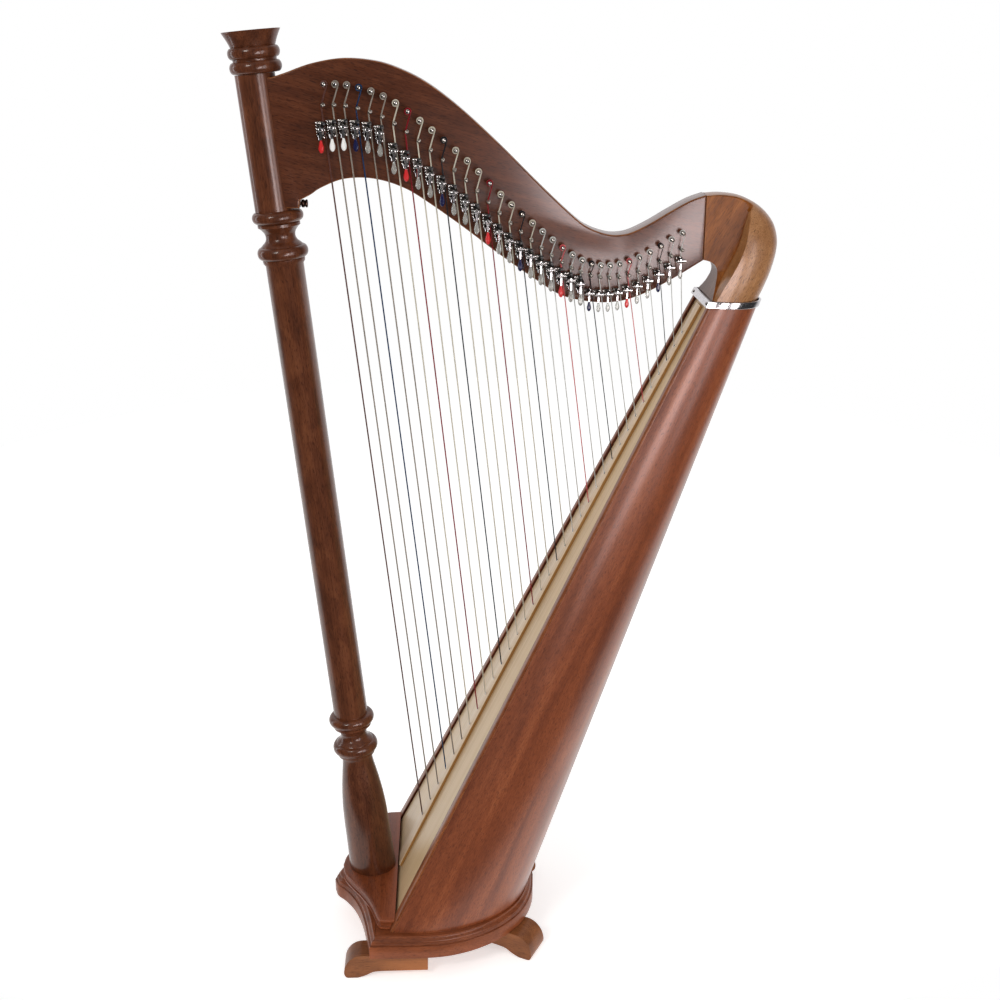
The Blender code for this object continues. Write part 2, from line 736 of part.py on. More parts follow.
# Inner and outer side-view curves of the shoulder from the collar to the neck, as
# (x, z) in millimetres, and where the flat cheek ends between them.
SHOULDER_INNER = [(298.5, 1094.6), (303.0, 1104.0), (308.0, 1117.0), (310.5, 1129.0), (309.5, 1137.0),
                  (305.5, 1143.0), (300.0, 1146.5), (295.0, 1148.3), (292.0, 1149.0), (289.3, 1149.4)]
SHOULDER_OUTER = [(377.5, 1090.4), (385.5, 1109.0), (394.0, 1132.0), (400.5, 1160.0), (400.5, 1182.0),
                  (392.0, 1205.0), (372.0, 1226.0), (343.0, 1241.0), (314.0, 1245.5), (289.3, 1244.4)]
CHEEK_EDGE = [(0, 0.02), (1, 0.03), (2, 0.06), (3, 0.13), (4, 0.22), (5, 0.38), (6, 0.64), (6.6, 0.93), (9, 1.2)]
CHEEK_HALF = [(0, 56.0), (1, 44.0), (2, 30.0), (3, 23.5), (4, 22.4), (9, 22.4)]
TENON_SCALE = 0.84
BODY_HALF = [(0, 58.0), (2, 58.0), (4, 56.0), (6, 52.0), (9, 50.0)]
EDGE_ROUND = [(0, 0.74), (2, 0.60), (4, 0.34), (6, 0.12), (7, 0.05), (9, 0.03)]


def shoulder_half_width(place, share):
    """Half width of the shoulder at a place along it and a share from inside to outside."""
    rounding = through(EDGE_ROUND, place)
    past = max(0.0, (share - (1.0 - rounding)) / rounding)
    flat = through(CHEEK_HALF, place) * math.sqrt(max(0.0, 1.0 - past * past))
    beyond = max(0.0, (share - 0.26) / 0.74)
    body = through(BODY_HALF, place) * 1.05 * math.sqrt(max(0.0, 1.0 - beyond * beyond))
    edge = through(CHEEK_EDGE, place)
    blend = min(max((share - edge) / 0.05, 0.0), 1.0)
    return max(flat, flat + (body - flat) * blend)


def shoulder_shares(place):
    """Where the section has its points: close together at the cheek's edge and the back."""
    edge = min(through(CHEEK_EDGE, place), 0.86)
    shares = [0.0, edge * 0.5, edge, edge + 0.02, edge + 0.05]
    start = edge + 0.05
    for step in range(1, 8):
        angle = math.pi / 2 * step / 7
        shares.append(start + (1.0 - start) * math.sin(angle))
    return shares


def shoulder_ring(place):
    inner = [through(list(enumerate(axis)), place) * MM for axis in zip(*SHOULDER_INNER)]
    outer = [through(list(enumerate(axis)), place) * MM for axis in zip(*SHOULDER_OUTER)]
    start = Vector((inner[0], 0.0, inner[1]))
    reach = Vector((outer[0], 0.0, outer[1])) - start
    near = []
    for share in shoulder_shares(place):
        width = shoulder_half_width(place, share) * MM
        near.append(start + reach * share + Vector((0.0, -width, 0.0)))
    near[-1].y = 0.0
    far = [Vector((point.x, -point.y, point.z)) for point in reversed(near[:-1])]
    return near + far


def collar_level(point, lift):
    """A point moved straight up or down onto the collar's plane, raised by lift."""
    fall = COLLAR_FALL * (point.x - COLLAR_POINT.x)
    return Vector((point.x, point.y, COLLAR_POINT.z + lift - fall))


def make_shoulder_block():
    """The block that joins the neck to the soundbox, with a tenon inside the collar."""
    first = shoulder_ring(0.0)
    middle = sum(first, Vector()) / len(first)
    top = COLLAR_HEIGHT + GAP
    rings = []
    for scale, lift in ((TENON_SCALE, 0.5 * MM), (TENON_SCALE, top), (1.0, top)):
        spread = [middle + (point - middle) * scale for point in first]
        rings.append([collar_level(point, lift) for point in spread])
    steps = 22
    for step in range(1, steps + 1):
        rings.append(shoulder_ring(9.0 * step / steps))
    obj = loft("shoulder_block", rings, "gold_wood")
    shade_edges(obj, 30.0)


# ------------------------------------------------------------------------- neck

# Side-view edges of the neck in millimetres, from the pillar to the shoulder.
NECK_UNDER = [(-302.5, 1239.0), (-287.0, 1246.5), (-272.0, 1256.0), (-243.0, 1267.5), (-214.0, 1270.4),
              (-186.0, 1267.2), (-157.0, 1258.0), (-129.0, 1243.0), (-71.0, 1202.7), (-13.0, 1159.0),
              (46.6, 1117.5), (77.0, 1099.0), (107.0, 1090.6), (137.0, 1087.2), (160.0, 1088.0),
              (182.0, 1092.5), (211.0, 1103.9), (250.0, 1125.0), (289.0, 1149.0)]
NECK_OVER = [(289.0, 1244.0), (265.0, 1235.5), (236.0, 1219.8), (207.0, 1202.8), (181.0, 1190.5),
             (163.0, 1186.8), (145.0, 1188.0), (120.0, 1196.5), (97.0, 1212.0), (45.0, 1259.7),
             (-13.0, 1316.0), (-70.0, 1367.0), (-118.0, 1402.0), (-160.0, 1422.0), (-194.0, 1431.0),
             (-236.0, 1433.5), (-278.0, 1426.5), (-315.0, 1414.0), (-334.0, 1408.0)]
BRIDGE_X = [(1, -263), (3, -231), (6, -180), (9, -129), (13, -62), (17, 2), (21, 63), (24, 107),
            (27, 149), (30, 192), (34, 255)]
BRIDGE_Z = [(1, 1371), (3, 1370), (6, 1355), (9, 1322), (13, 1267), (17, 1206), (21, 1159),
            (24, 1134), (27, 1126), (30, 1134), (34, 1166)]
PIN_RISE = [(1, 28), (10, 28), (19, 26), (25, 18), (30, 22.5), (34, 25.5)]
# Lever rows: first and last string, drop below the bridge pin at each, and shift aside.
LEVER_DROP = [(1, 6, 25.0, 14.0, -3.5), (7, 24, 29.0, 8.0, -1.5), (25, 34, 19.0, 8.5, -2.8)]


def bridge_place(number):
    return through(BRIDGE_X, number) * MM, through(BRIDGE_Z, number) * MM


def pin_place(number):
    x, z = bridge_place(number)
    return x + (3.6 - 0.150 * (number - 1)) * MM, z + through(PIN_RISE, number) * MM


def lever_place(number):
    """Middle of a lever's axis, which is below its string's bridge pin."""
    x, z = bridge_place(number)
    for first, last, start, end, aside in LEVER_DROP:
        if first <= number <= last:
            drop = start + (end - start) * (number - first) / (last - first)
            shift = aside
    return x + shift * MM, z - (drop + lever_size(number) * 8.0) * MM


def lever_size(number):
    return 1.0 if number <= 24 else 0.82


def round_bar(x, z, radius, near, far, sides=6):
    rings = []
    for y in (near, far):
        ring = []
        for side in range(sides):
            angle = math.tau * side / sides
            ring.append(Vector((x + radius * math.cos(angle), y, z + radius * math.sin(angle))))
        rings.append(ring)
    return rings


def make_neck():
    under = smooth_path(NECK_UNDER, 2)
    over = smooth_path(NECK_OVER, 2)
    block = [(-348.0, 1408.0), (-348.0, 1227.5), (-303.5, 1227.5), (-303.0, 1237.0)]
    outline = [(x * MM, z * MM) for x, z in under + over + block]
    rings = [[Vector((x, y, z)) for x, z in outline] for y in (-NECK_HALF, NECK_HALF)]
    obj = loft("neck", rings, "dark_wood")
    soften(obj, 1.2 * MM, angle=40.0)
    radius = NECK_END_RADIUS + GAP + 0.1 * MM
    socket = [pillar_ring(along, radius, NECK_END_SHIFT) for along in (1.08, 1.36)]
    combine(obj, loft("pillar_socket", socket, "dark_wood"), "DIFFERENCE")
    bores = [round_bar(*pin_place(number), PIN_RADIUS + GAP, -0.03, 0.03)
             for number in range(1, STRING_COUNT + 1)]
    combine(obj, loft_many("pin_bores", bores, "dark_wood"), "DIFFERENCE")
    combine(obj, bolt_body("neck_bolt_bore", 3.6 * MM, -0.360, -0.290), "DIFFERENCE")
    shade_edges(obj)


# -------------------------------------------------------- strings and fittings


def string_radius(number):
    return (0.95 - 0.55 * (number - 1) / (STRING_COUNT - 1)) * MM


def thin_tube(points, radius):
    """A thin three-sided tube along a path in the string's own plane."""
    rings = []
    for index, point in enumerate(points):
        before = points[max(index - 1, 0)]
        after = points[min(index + 1, len(points) - 1)]
        direction = (after - before).normalized()
        across = direction.cross(Vector((0.0, 1.0, 0.0))).normalized()
        other = direction.cross(across)
        rings.append([point + across * radius, point + (other * 0.87 - across * 0.5) * radius,
                      point - (other * 0.87 + across * 0.5) * radius])
    return rings


def string_path(number):
    along = string_foot(number)
    lift = belly(along, 0.0)
    bar = board_point(along, 0.0, -BOARD_THICK - 3.0 * MM)
    eye = board_point(along, 0.0, lift + RIB_HEIGHT + 0.8 * MM)
    bridge_x, bridge_z = bridge_place(number)
    pin_x, pin_z = pin_place(number)
    bridge = Vector((bridge_x - BRIDGE_RADIUS + 0.5 * MM, STRING_AT_BRIDGE, bridge_z))
    pin = Vector((pin_x + 1.6 * MM, STRING_AT_PIN, pin_z))
    return [bar, eye, bridge, pin]


def make_string_set():
    """Strings, pins and lever brackets, tied together by the bar behind the board."""
    rings = []
    for along in (0.075, BOARD_LENGTH / 2, 1.062):
        half = 11.0 * MM
        top = belly(along, 0.25) - BOARD_THICK - 0.5 * MM
        ring = [board_point(along, -half, top), board_point(along, half, top)]
        ring += [board_point(along, half, top - 8.0 * MM), board_point(along, -half, top - 8.0 * MM)]
        rings.append(ring)
    obj = loft("string_set", rings, "string", smooth=False)
    bodies = []
    for number in range(1, STRING_COUNT + 1):
        bridge_x, bridge_z = bridge_place(number)
        lever_x, lever_z = lever_place(number)
        face = -NECK_HALF - GAP
        bodies.append(thin_tube(string_path(number), string_radius(number)))
        bodies.append(round_bar(*pin_place(number), PIN_RADIUS, PIN_NEAR_END, PIN_FAR_END))
        bodies.append(round_bar(bridge_x, bridge_z, BRIDGE_RADIUS, BRIDGE_END, face, sides=4))
        bodies.append(bracket_rings(number, lever_x, lever_z, face))
    parts = loft_many("string_parts", bodies, "string")
    combine(obj, parts, "UNION", self_overlaps=True)


def bracket_rings(number, x, z, face):
    """The lever's bracket: a block on the neck that the string runs through."""
    size = lever_size(number)
    eye = string_path(number)[1]
    bridge = string_path(number)[2]
    share = (bridge.z - z) / (bridge.z - eye.z)
    string_x = bridge.x + (eye.x - bridge.x) * share
    left = x - 5.0 * MM * size
    right = string_x + 2.0 * MM
    front = face - 11.6 * MM
    rings = []
    for y in (face, front):
        ring = [Vector((left, y, z - 8.0 * MM * size)), Vector((right, y, z - 8.0 * MM * size))]
        ring += [Vector((right, y, z + 7.0 * MM * size)), Vector((left, y, z + 7.0 * MM * size))]
        rings.append(ring)
    return rings


LEVER_COLOURS = {1: "red", 2: "white", 3: "white", 4: "blue"}


def lever_finish(number):
    """Every seventh lever from 1 is a red C and every seventh from 4 a blue F."""
    colour = LEVER_COLOURS.get(number, "clear")
    if number % 7 == 1:
        colour = "red"
    if number % 7 == 4:
        colour = "blue"
    return "lever_" + colour


def make_lever(number):
    """A lever hanging from its axis: round hub, thin arm and a drop-shaped grip."""
    size = lever_size(number)
    stations = [(4.2, 2.6, 1.0), (1.8, 3.2, 4.0), (-1.8, 3.2, 4.0), (-4.6, 2.2, 1.5)]
    stations += [(-15.0, 1.8, 1.4), (-24.0, 4.0, 2.9), (-29.5, 3.4, 2.5), (-32.0, 1.4, 1.2)]
    rings = []
    for z, half_x, half_y in stations:
        corners = [(-0.5, -1.0), (0.5, -1.0), (1.0, 0.0), (0.5, 1.0), (-0.5, 1.0), (-1.0, 0.0)]
        rings.append([Vector((half_x * a * MM, half_y * b * MM, z * MM)) * size for a, b in corners])
    obj = loft("lever_%02d" % number, rings, lever_finish(number))
    x, z = lever_place(number)
    obj.location = (x, LEVER_AXIS_Y, z)
    shade_edges(obj, 40.0)


def main():
    clear_scene()
    make_base_plate()
    make_pillar_plinth()
    make_feet()
    make_pillar()
    make_capital()
    make_pillar_bolt()
    make_blocks()
    make_soundbox_shell()
    make_braces()
    make_soundboard()
    make_string_rib()
    make_edge_strips()
    make_collar_band()
    make_collar_screws()
    make_shoulder_block()
    make_neck()
    make_string_set()
    for number in range(1, STRING_COUNT + 1):
        make_lever(number)


main()
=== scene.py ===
"""Looks of a lever harp with 34 strings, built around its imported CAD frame.

Metres, +Z up. The strings and the pillar lie in the plane y = 0, the pillar is at -X,
the soundbox at +X, and the levers are on the -Y side of the neck.
"""

import math

import bmesh
import bpy
from mathutils import Matrix, Vector


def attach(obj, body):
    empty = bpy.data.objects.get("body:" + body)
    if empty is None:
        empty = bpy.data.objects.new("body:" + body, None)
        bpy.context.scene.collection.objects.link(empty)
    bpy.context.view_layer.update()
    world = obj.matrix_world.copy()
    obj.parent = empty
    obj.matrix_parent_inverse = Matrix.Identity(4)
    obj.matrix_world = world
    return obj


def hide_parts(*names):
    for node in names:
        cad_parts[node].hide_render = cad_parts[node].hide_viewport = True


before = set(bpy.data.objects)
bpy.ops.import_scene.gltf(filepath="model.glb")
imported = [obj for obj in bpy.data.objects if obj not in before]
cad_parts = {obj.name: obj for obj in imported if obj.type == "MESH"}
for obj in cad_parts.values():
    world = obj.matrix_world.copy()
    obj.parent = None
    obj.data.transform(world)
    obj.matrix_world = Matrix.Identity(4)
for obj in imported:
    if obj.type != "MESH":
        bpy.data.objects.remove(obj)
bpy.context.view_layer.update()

MM = 0.001
GAP = 0.3 * MM
ORIGIN = Vector((0.0, 0.0, 0.0))
ALONG = Vector((1.0, 0.0, 0.0))
ACROSS = Vector((0.0, 1.0, 0.0))
UPRIGHT = Vector((0.0, 0.0, 1.0))
SIDES = ((-1, "left"), (1, "right"))

# Pillar.
PILLAR_FOOT = Vector((-0.235, 0.0, 0.098))
PILLAR_LEAN = math.radians(5.27)
PILLAR_SIDES = 96
BEADS_APART = 51.8
PILLAR_TOP = 1.320
CAPITAL_TOP = 1.378
SHAFT_RADIUS = 28.0 * MM
NECK_END_RADIUS = 28.5 * MM
NECK_END_SHIFT = -3.0 * MM
UPPER_BEADS = 1.1205
LOWER_BEADS = 0.2887
BOLT_Z = 1.2322

# Base.
FOOT_HEIGHT = 43.0 * MM
PLATE_TOP = 80.0 * MM
PLINTH_TOP = 98.0 * MM
PLINTH_HALF = 161.0 * MM
FRONT_NOSE = Vector((-0.276, 0.179))
FRONT_FOOT_LONG = 138.0 * MM
FRONT_FOOT_WIDE = 40.0 * MM
REAR_NOSE = Vector((0.034, 0.150))
REAR_SPLAY = math.radians(28.0)
REAR_FOOT_LONG = 135.0 * MM
REAR_FOOT_WIDE = 52.0 * MM

# Soundbox.
BOARD_FOOT = Vector((-0.185, 0.0, 0.0988))
BOARD_SLOPE = math.radians(63.94)
BOARD_LENGTH = 1.096
HALF_WIDTH_LOW = 167.0 * MM
HALF_WIDTH_TAPER = 0.0976
BOARD_HALF_LOW = 143.0 * MM
BOARD_HALF_TAPER = 0.0885
DEPTH_LOW = 216.0 * MM
DEPTH_TAPER = 0.1270
SHELL_WALL = 9.0 * MM
BOARD_THICK = 5.0 * MM
BOARD_BELLY = 4.4 * MM
BOARD_START = -14.0 * MM
BOARD_PAST = 12.0 * MM
BOARD_ROWS = 64
BOARD_COLUMNS = 32
RIB_HEIGHT = 5.5 * MM
EDGE_STRIP_HEIGHT = 4.5 * MM
BACK_STEPS = 28
BACK_BULGE = 1.04
BACK_START = 0.22
BACK_SIDE_POWER = 0.83
BACK_DEPTH_POWER = 1.02
RABBET_WALL = 4.5 * MM
# Each sound hole: its middle up the board, half its length and half its width.
SOUND_HOLES = ((0.30, 0.060, 0.034), (0.52, 0.055, 0.030), (0.73, 0.050, 0.026), (0.92, 0.042, 0.021))

# Collar and shoulder.
COLLAR_POINT = Vector((0.291, 0.0, 1.085))
COLLAR_FALL = 0.055
COLLAR_HEIGHT = 10.0 * MM
COLLAR_PROUD = 3.0 * MM
COLLAR_WALL = 3.0 * MM
COLLAR_SCREW_INSET = 7.0 * MM

# Neck, strings and fittings.
NECK_HALF = 22.0 * MM
NECK_FACE = -NECK_HALF - GAP
STRING_COUNT = 34
STRINGS = range(1, STRING_COUNT + 1)
STRING_SIDES = 8
FIRST_HOLE = 0.103
HOLE_SPACING = 0.0331
HOLE_CLOSING = 0.000142
BAR_START = 0.075
BAR_END = 1.062
BAR_ROWS = 32
LAST_LARGE_LEVER = 24
SMALL_LEVER_SIZE = 0.82
PIN_RADIUS = 3.2 * MM
PIN_NEAR_END = -0.046
PIN_FAR_END = 0.040
BRIDGE_RADIUS = 2.4 * MM
BRIDGE_END = -0.037
STRING_AT_PIN = -0.038
STRING_AT_BRIDGE = -0.0315
LEVER_AXIS_Y = -0.0392

BOARD_UP = Vector((math.cos(BOARD_SLOPE), 0.0, math.sin(BOARD_SLOPE)))
BOARD_OUT = Vector((-math.sin(BOARD_SLOPE), 0.0, math.cos(BOARD_SLOPE)))
PILLAR_UP = Vector((-math.sin(PILLAR_LEAN), 0.0, math.cos(PILLAR_LEAN)))
NECK_GRAIN = Vector((0.966, 0.0, -0.259))
SHOULDER_GRAIN = Vector((0.5, 0.0, 0.866))
CENTRE = Vector((0.0, 0.0, 0.7))

# Floor and camera.
FLOOR_CENTRE = Vector((0.0, 1.76, 0.0))
FLOOR_RADIUS = 2.1
CAMERA_PLACE = Vector((-0.0899, -1.9457, 1.4551))
CAMERA_AIM = Vector((0.03769, 0.94234, -0.33252))

# ------------------------------------------------------------------ materials


class Nodes:
    """A node tree, with short calls for what is used here."""

    def __init__(self, owner):
        owner.use_nodes = True
        self.tree = owner.node_tree

    def node(self, kind, inputs=(), **settings):
        """Make a node; inputs are (socket, number, colour or output) pairs."""
        made = self.tree.nodes.new("ShaderNode" + kind)
        for key, value in settings.items():
            setattr(made, key, value)
        for socket, value in inputs:
            if isinstance(value, bpy.types.NodeSocket):
                self.tree.links.new(value, made.inputs[socket])
            else:
                made.inputs[socket].default_value = value
        return made

    def math(self, operation, first, second):
        return self.node("Math", [(0, first), (1, second)], operation=operation).outputs["Value"]

    def span(self, value, low, high, new_low, new_high, kind="LINEAR"):
        """A value's range from low to high, spread over a new range and held inside it."""
        inputs = enumerate((value, low, high, new_low, new_high))
        return self.node("MapRange", inputs, interpolation_type=kind).outputs["Result"]


class Finish(Nodes):
    """A procedural material around one Principled shader."""

    def __init__(self, name):
        self.material = bpy.data.materials.new(name)
        super().__init__(self.material)
        self.shader = self.tree.nodes["Principled BSDF"]

    def set(self, **values):
        """Set the shader's own sockets; an underscore stands for a space."""
        for key, value in values.items():
            self.shader.inputs[key.replace("_", " ")].default_value = value

    def drive(self, socket, output):
        self.tree.links.new(output, self.shader.inputs[socket])

    def places(self, stretch, along=None):
        """Object coordinates, turned so that a leaning grain stands along Z, then scaled."""
        place = self.node("TexCoord").outputs["Object"]
        if along is not None:
            turn = (0.0, -math.atan2(along.x, along.z), 0.0)
            place = self.node("Mapping", [("Vector", place), ("Rotation", turn)]).outputs["Vector"]
        return self.node("Mapping", [("Vector", place), ("Scale", stretch)]).outputs["Vector"]

    def noise(self, vector, scale, detail=4.0, distortion=0.0):
        inputs = [("Vector", vector), ("Scale", scale), ("Detail", detail), ("Distortion", distortion)]
        return self.node("TexNoise", inputs).outputs["Fac"]

    def blend(self, *parts):
        """The sum of (output, share) parts."""
        total = None
        for output, share in parts:
            part = self.math("MULTIPLY", output, share)
            total = part if total is None else self.math("ADD", total, part)
        return total

    def tones(self, value, spread, colours):
        """Dark, middle and light colours over a value's middle range."""
        made = self.node("ValToRGB", [("Fac", value)])
        elements = made.color_ramp.elements
        elements.new(0.5)
        for element, offset, colour in zip(elements, (-spread, 0.0, spread), colours):
            element.position = 0.5 + offset
            element.color = (*colour, 1.0)
        return made.outputs["Color"]

    def mix(self, share, first, second):
        inputs = [(0, share)]
        for socket, value in ((6, first), (7, second)):
            inputs.append((socket, (*value, 1.0) if isinstance(value, tuple) else value))
        return self.node("Mix", inputs, data_type="RGBA").outputs[2]

    def rough(self, value, smooth, dull):
        self.drive("Roughness", self.span(value, 0.3, 0.7, smooth, dull))

    def bump(self, height, strength, distance):
        inputs = [("Height", height), ("Strength", strength), ("Distance", distance)]
        self.drive("Normal", self.node("Bump", inputs).outputs["Normal"])


def stretched(grain, short):
    """Scale on each axis so that a pattern runs long along the grain axis."""
    return tuple(short if axis == grain else 1.0 for axis in "XYZ")


def darker(colour, share):
    return tuple(channel * share for channel in colour)


def lighter(colour, share, extra=0.0, most=1.0):
    return tuple(min(channel * share + extra, most) for channel in colour)


def wood(name, *colours, grain="Z", roughness=0.36, coat=0.4, coat_roughness=0.16, figure=0.3,
         pores=0.6, worn_edges=0.0, bands=46.0, run=0.07, spread=0.15, along=None):
    """Lacquered wood: growth bands, mottled figure, fibre and short dark pores along the grain."""
    finish = Finish(name)
    broad = finish.noise(finish.places(stretched(grain, run), along), bands, 3.0, 0.5)
    mottle = finish.noise(finish.places(stretched(grain, 0.40), along), 60.0, 3.0, 0.5)
    fibre = finish.noise(finish.places(stretched(grain, run * 0.5), along), 620.0, 4.0)
    pore = finish.noise(finish.places(stretched(grain, 0.10), along), 1150.0, 1.0)
    value = finish.blend((broad, 0.70 - figure), (mottle, figure), (fibre, 0.30))
    pits = finish.span(pore, 0.57, 0.66, 0.0, pores)
    tone = finish.mix(pits, finish.tones(value, spread, colours), darker(colours[0], 0.35))
    if worn_edges:
        pointed = finish.node("NewGeometry").outputs["Pointiness"]
        worn = finish.span(pointed, 0.53, 0.60, 0.0, worn_edges)
        tone = finish.mix(worn, tone, lighter(colours[2], 1.9, most=0.9))
    finish.drive("Base Color", tone)
    finish.rough(fibre, roughness - 0.07, roughness + 0.09)
    finish.bump(finish.math("SUBTRACT", finish.math("MULTIPLY", fibre, 0.4), pits), 0.20, 0.0003)
    finish.set(Specular_IOR_Level=0.12, Coat_Weight=coat, Coat_Roughness=coat_roughness, Coat_IOR=1.5)
    return finish.material


def laminated(name, *colours):
    """The neck's top and underside: thin layers across Y, seen on their edges."""
    finish = Finish(name)
    layers = finish.noise(finish.places((0.02, 1.0, 0.02)), 420.0, 2.0)
    fibre = finish.noise(finish.places((1.0, 1.0, 0.04)), 700.0, 3.0)
    value = finish.blend((layers, 0.65), (fibre, 0.35))
    finish.drive("Base Color", finish.tones(value, 0.14, colours))
    finish.rough(fibre, 0.28, 0.44)
    finish.bump(value, 0.25, 0.0003)
    finish.set(Coat_Weight=0.6, Coat_Roughness=0.14, IOR=1.48)
    return finish.material


def softwood(name, *colours, grain="Z", coat=0.25):
    """Fine straight-grained board wood with close growth lines across Y."""
    finish = Finish(name)
    shape = (0.3, 1.0, 0.004) if grain == "Z" else (0.3, 0.004, 1.0)
    lines = finish.noise(finish.places(shape), 260.0, 3.0, 0.3)
    broad = finish.noise(finish.places(stretched(grain, 0.2)), 12.0, 2.0)
    fibre = finish.noise(finish.places(stretched(grain, 0.03)), 1100.0, 2.0)
    value = finish.blend((lines, 0.5), (broad, 0.3), (fibre, 0.2))
    finish.drive("Base Color", finish.tones(value, 0.14, colours))
    finish.rough(fibre, 0.36, 0.52)
    finish.bump(value, 0.12, 0.0002)
    finish.set(Coat_Weight=coat, Coat_Roughness=0.25, IOR=1.46)
    return finish.material


def metal(name, colour, roughness, spread=0.08, scratch=0.10):
    """Plated metal with fine scratches and patches of duller plating."""
    finish = Finish(name)
    patches = finish.noise(finish.places((1.0, 1.0, 1.0)), 240.0, 4.0)
    scratches = finish.noise(finish.places((1.0, 0.06, 1.0)), 2600.0, 2.0, 1.2)
    dulled = finish.span(patches, 0.35, 0.7, 0.0, 1.0)
    finish.drive("Base Color", finish.mix(dulled, colour, darker(colour, 0.78)))
    finish.rough(patches, roughness, roughness + spread)
    finish.bump(scratches, scratch, 0.00005)
    finish.set(Metallic=1.0)
    return finish.material


def plastic(name, colour, clear=0.0, roughness=0.14):
    """Moulded plastic grip: slight flow marks, and see-through where clear."""
    finish = Finish(name)
    flow = finish.noise(finish.places((1.0, 1.0, 0.35)), 420.0, 3.0, 0.8)
    marks = finish.span(flow, 0.35, 0.65, 0.0, 1.0)
    finish.drive("Base Color", finish.mix(marks, colour, lighter(colour, 1.25, 0.01)))
    finish.rough(flow, roughness, roughness + 0.10)
    finish.bump(flow, 0.10, 0.0002)
    finish.set(Transmission_Weight=clear, IOR=1.49)
    return finish.material


def cord_finish(name, colour, wound=False):
    """String: gut or nylon with slight unevenness, or a core wound with fine wire."""
    finish = Finish(name)
    uneven = finish.noise(finish.places((1.0, 1.0, 0.05)), 900.0, 3.0)
    if wound:
        inputs = [("Vector", finish.places((1.0, 1.0, 1.0))), ("Scale", 780.0), ("Distortion", 0.4)]
        shape = {"wave_type": "BANDS", "bands_direction": "Z", "wave_profile": "SIN"}
        winding = finish.node("TexWave", inputs, **shape).outputs["Fac"]
        # Painted shade: the colour darkens in the grooves between the wire's turns.
        finish.drive("Base Color", finish.mix(winding, darker(colour, 0.45), colour))
        finish.bump(winding, 0.6, 0.0001)
        finish.set(Metallic=0.3, Specular_IOR_Level=0.2)
    else:
        marks = finish.span(uneven, 0.35, 0.65, 0.0, 1.0)
        finish.drive("Base Color", finish.mix(marks, darker(colour, 0.75), colour))
        finish.bump(uneven, 0.15, 0.0001)
        finish.set(Specular_IOR_Level=0.15)
    finish.rough(uneven, 0.26, 0.42)
    return finish.material


PILLAR_WOOD = wood("pillar_mahogany", (0.06, 0.016, 0.006), (0.112, 0.0315, 0.0118), (0.178, 0.055, 0.021),
                   figure=0.4, coat=0.65, coat_roughness=0.18, worn_edges=0.2, run=0.05)
NECK_WOOD = wood("neck_mahogany", (0.05, 0.0118, 0.004), (0.094, 0.024, 0.008), (0.15, 0.043, 0.015),
                 figure=0.32, coat=0.85, coat_roughness=0.17, bands=80.0, run=0.06, spread=0.2)
# Lighter, redder wood on the neck's rounded edges: partly the veneer's edge, partly a painted highlight where
# the edges catch light.
NECK_RIM_VENEER_AND_HIGHLIGHT = wood("neck_rim_veneer_and_painted_highlight", (0.13, 0.038, 0.01), (0.22, 0.072, 0.02), (0.32, 0.115, 0.032),
                figure=0.2, coat=0.4)
NECK_TOP = laminated("neck_layers", (0.11, 0.055, 0.036), (0.175, 0.098, 0.07), (0.24, 0.15, 0.11))
CHEEK_WOOD = wood("shoulder_cheek_wood", (0.135, 0.038, 0.006), (0.245, 0.073, 0.012), (0.37, 0.128, 0.026),
                  figure=0.34, coat=0.02, coat_roughness=0.22, bands=90.0, run=0.1, spread=0.16,
                  along=SHOULDER_GRAIN)
# The shoulder's rounded body: the cheek's wood painted lighter and paler, a painted sheen of reflected light
# in its colour.
BODY_WOOD_PAINTED_SHEEN = wood("shoulder_body_painted_sheen", (0.24, 0.098, 0.034), (0.365, 0.165, 0.064), (0.5, 0.245, 0.104),
                 figure=0.3, coat=0.9, coat_roughness=0.27, pores=0.8, bands=70.0, run=0.12, spread=0.18,
                 along=SHOULDER_GRAIN)
# The shoulder's concave inner face: a greyed wood colour, a painted reflection of the pale surround.
INNER_FACE_PAINTED_REFLECTION = wood("shoulder_inner_face_painted_reflection", (0.13, 0.07, 0.048), (0.19, 0.11, 0.08), (0.25, 0.155, 0.115),
                  figure=0.3, coat=0.2, coat_roughness=0.35, bands=70.0, along=SHOULDER_GRAIN)
SHELL_WOOD = wood("soundbox_mahogany", (0.15, 0.0325, 0.0095), (0.24, 0.058, 0.0175), (0.34, 0.096, 0.032),
                  figure=0.05, coat=0.85, coat_roughness=0.29, bands=34.0, run=0.016, pores=0.55,
                  spread=0.16, along=BOARD_UP)
INNER_WOOD = wood("soundbox_inner_wood", (0.2, 0.105, 0.05), (0.29, 0.165, 0.085), (0.38, 0.23, 0.125),
                  coat=0.0, roughness=0.62, along=BOARD_UP)
STRIP_WOOD = wood("edge_strip_wood", (0.14, 0.036, 0.012), (0.24, 0.069, 0.023), (0.34, 0.112, 0.038),
                  coat=0.3, coat_roughness=0.2, run=0.03)
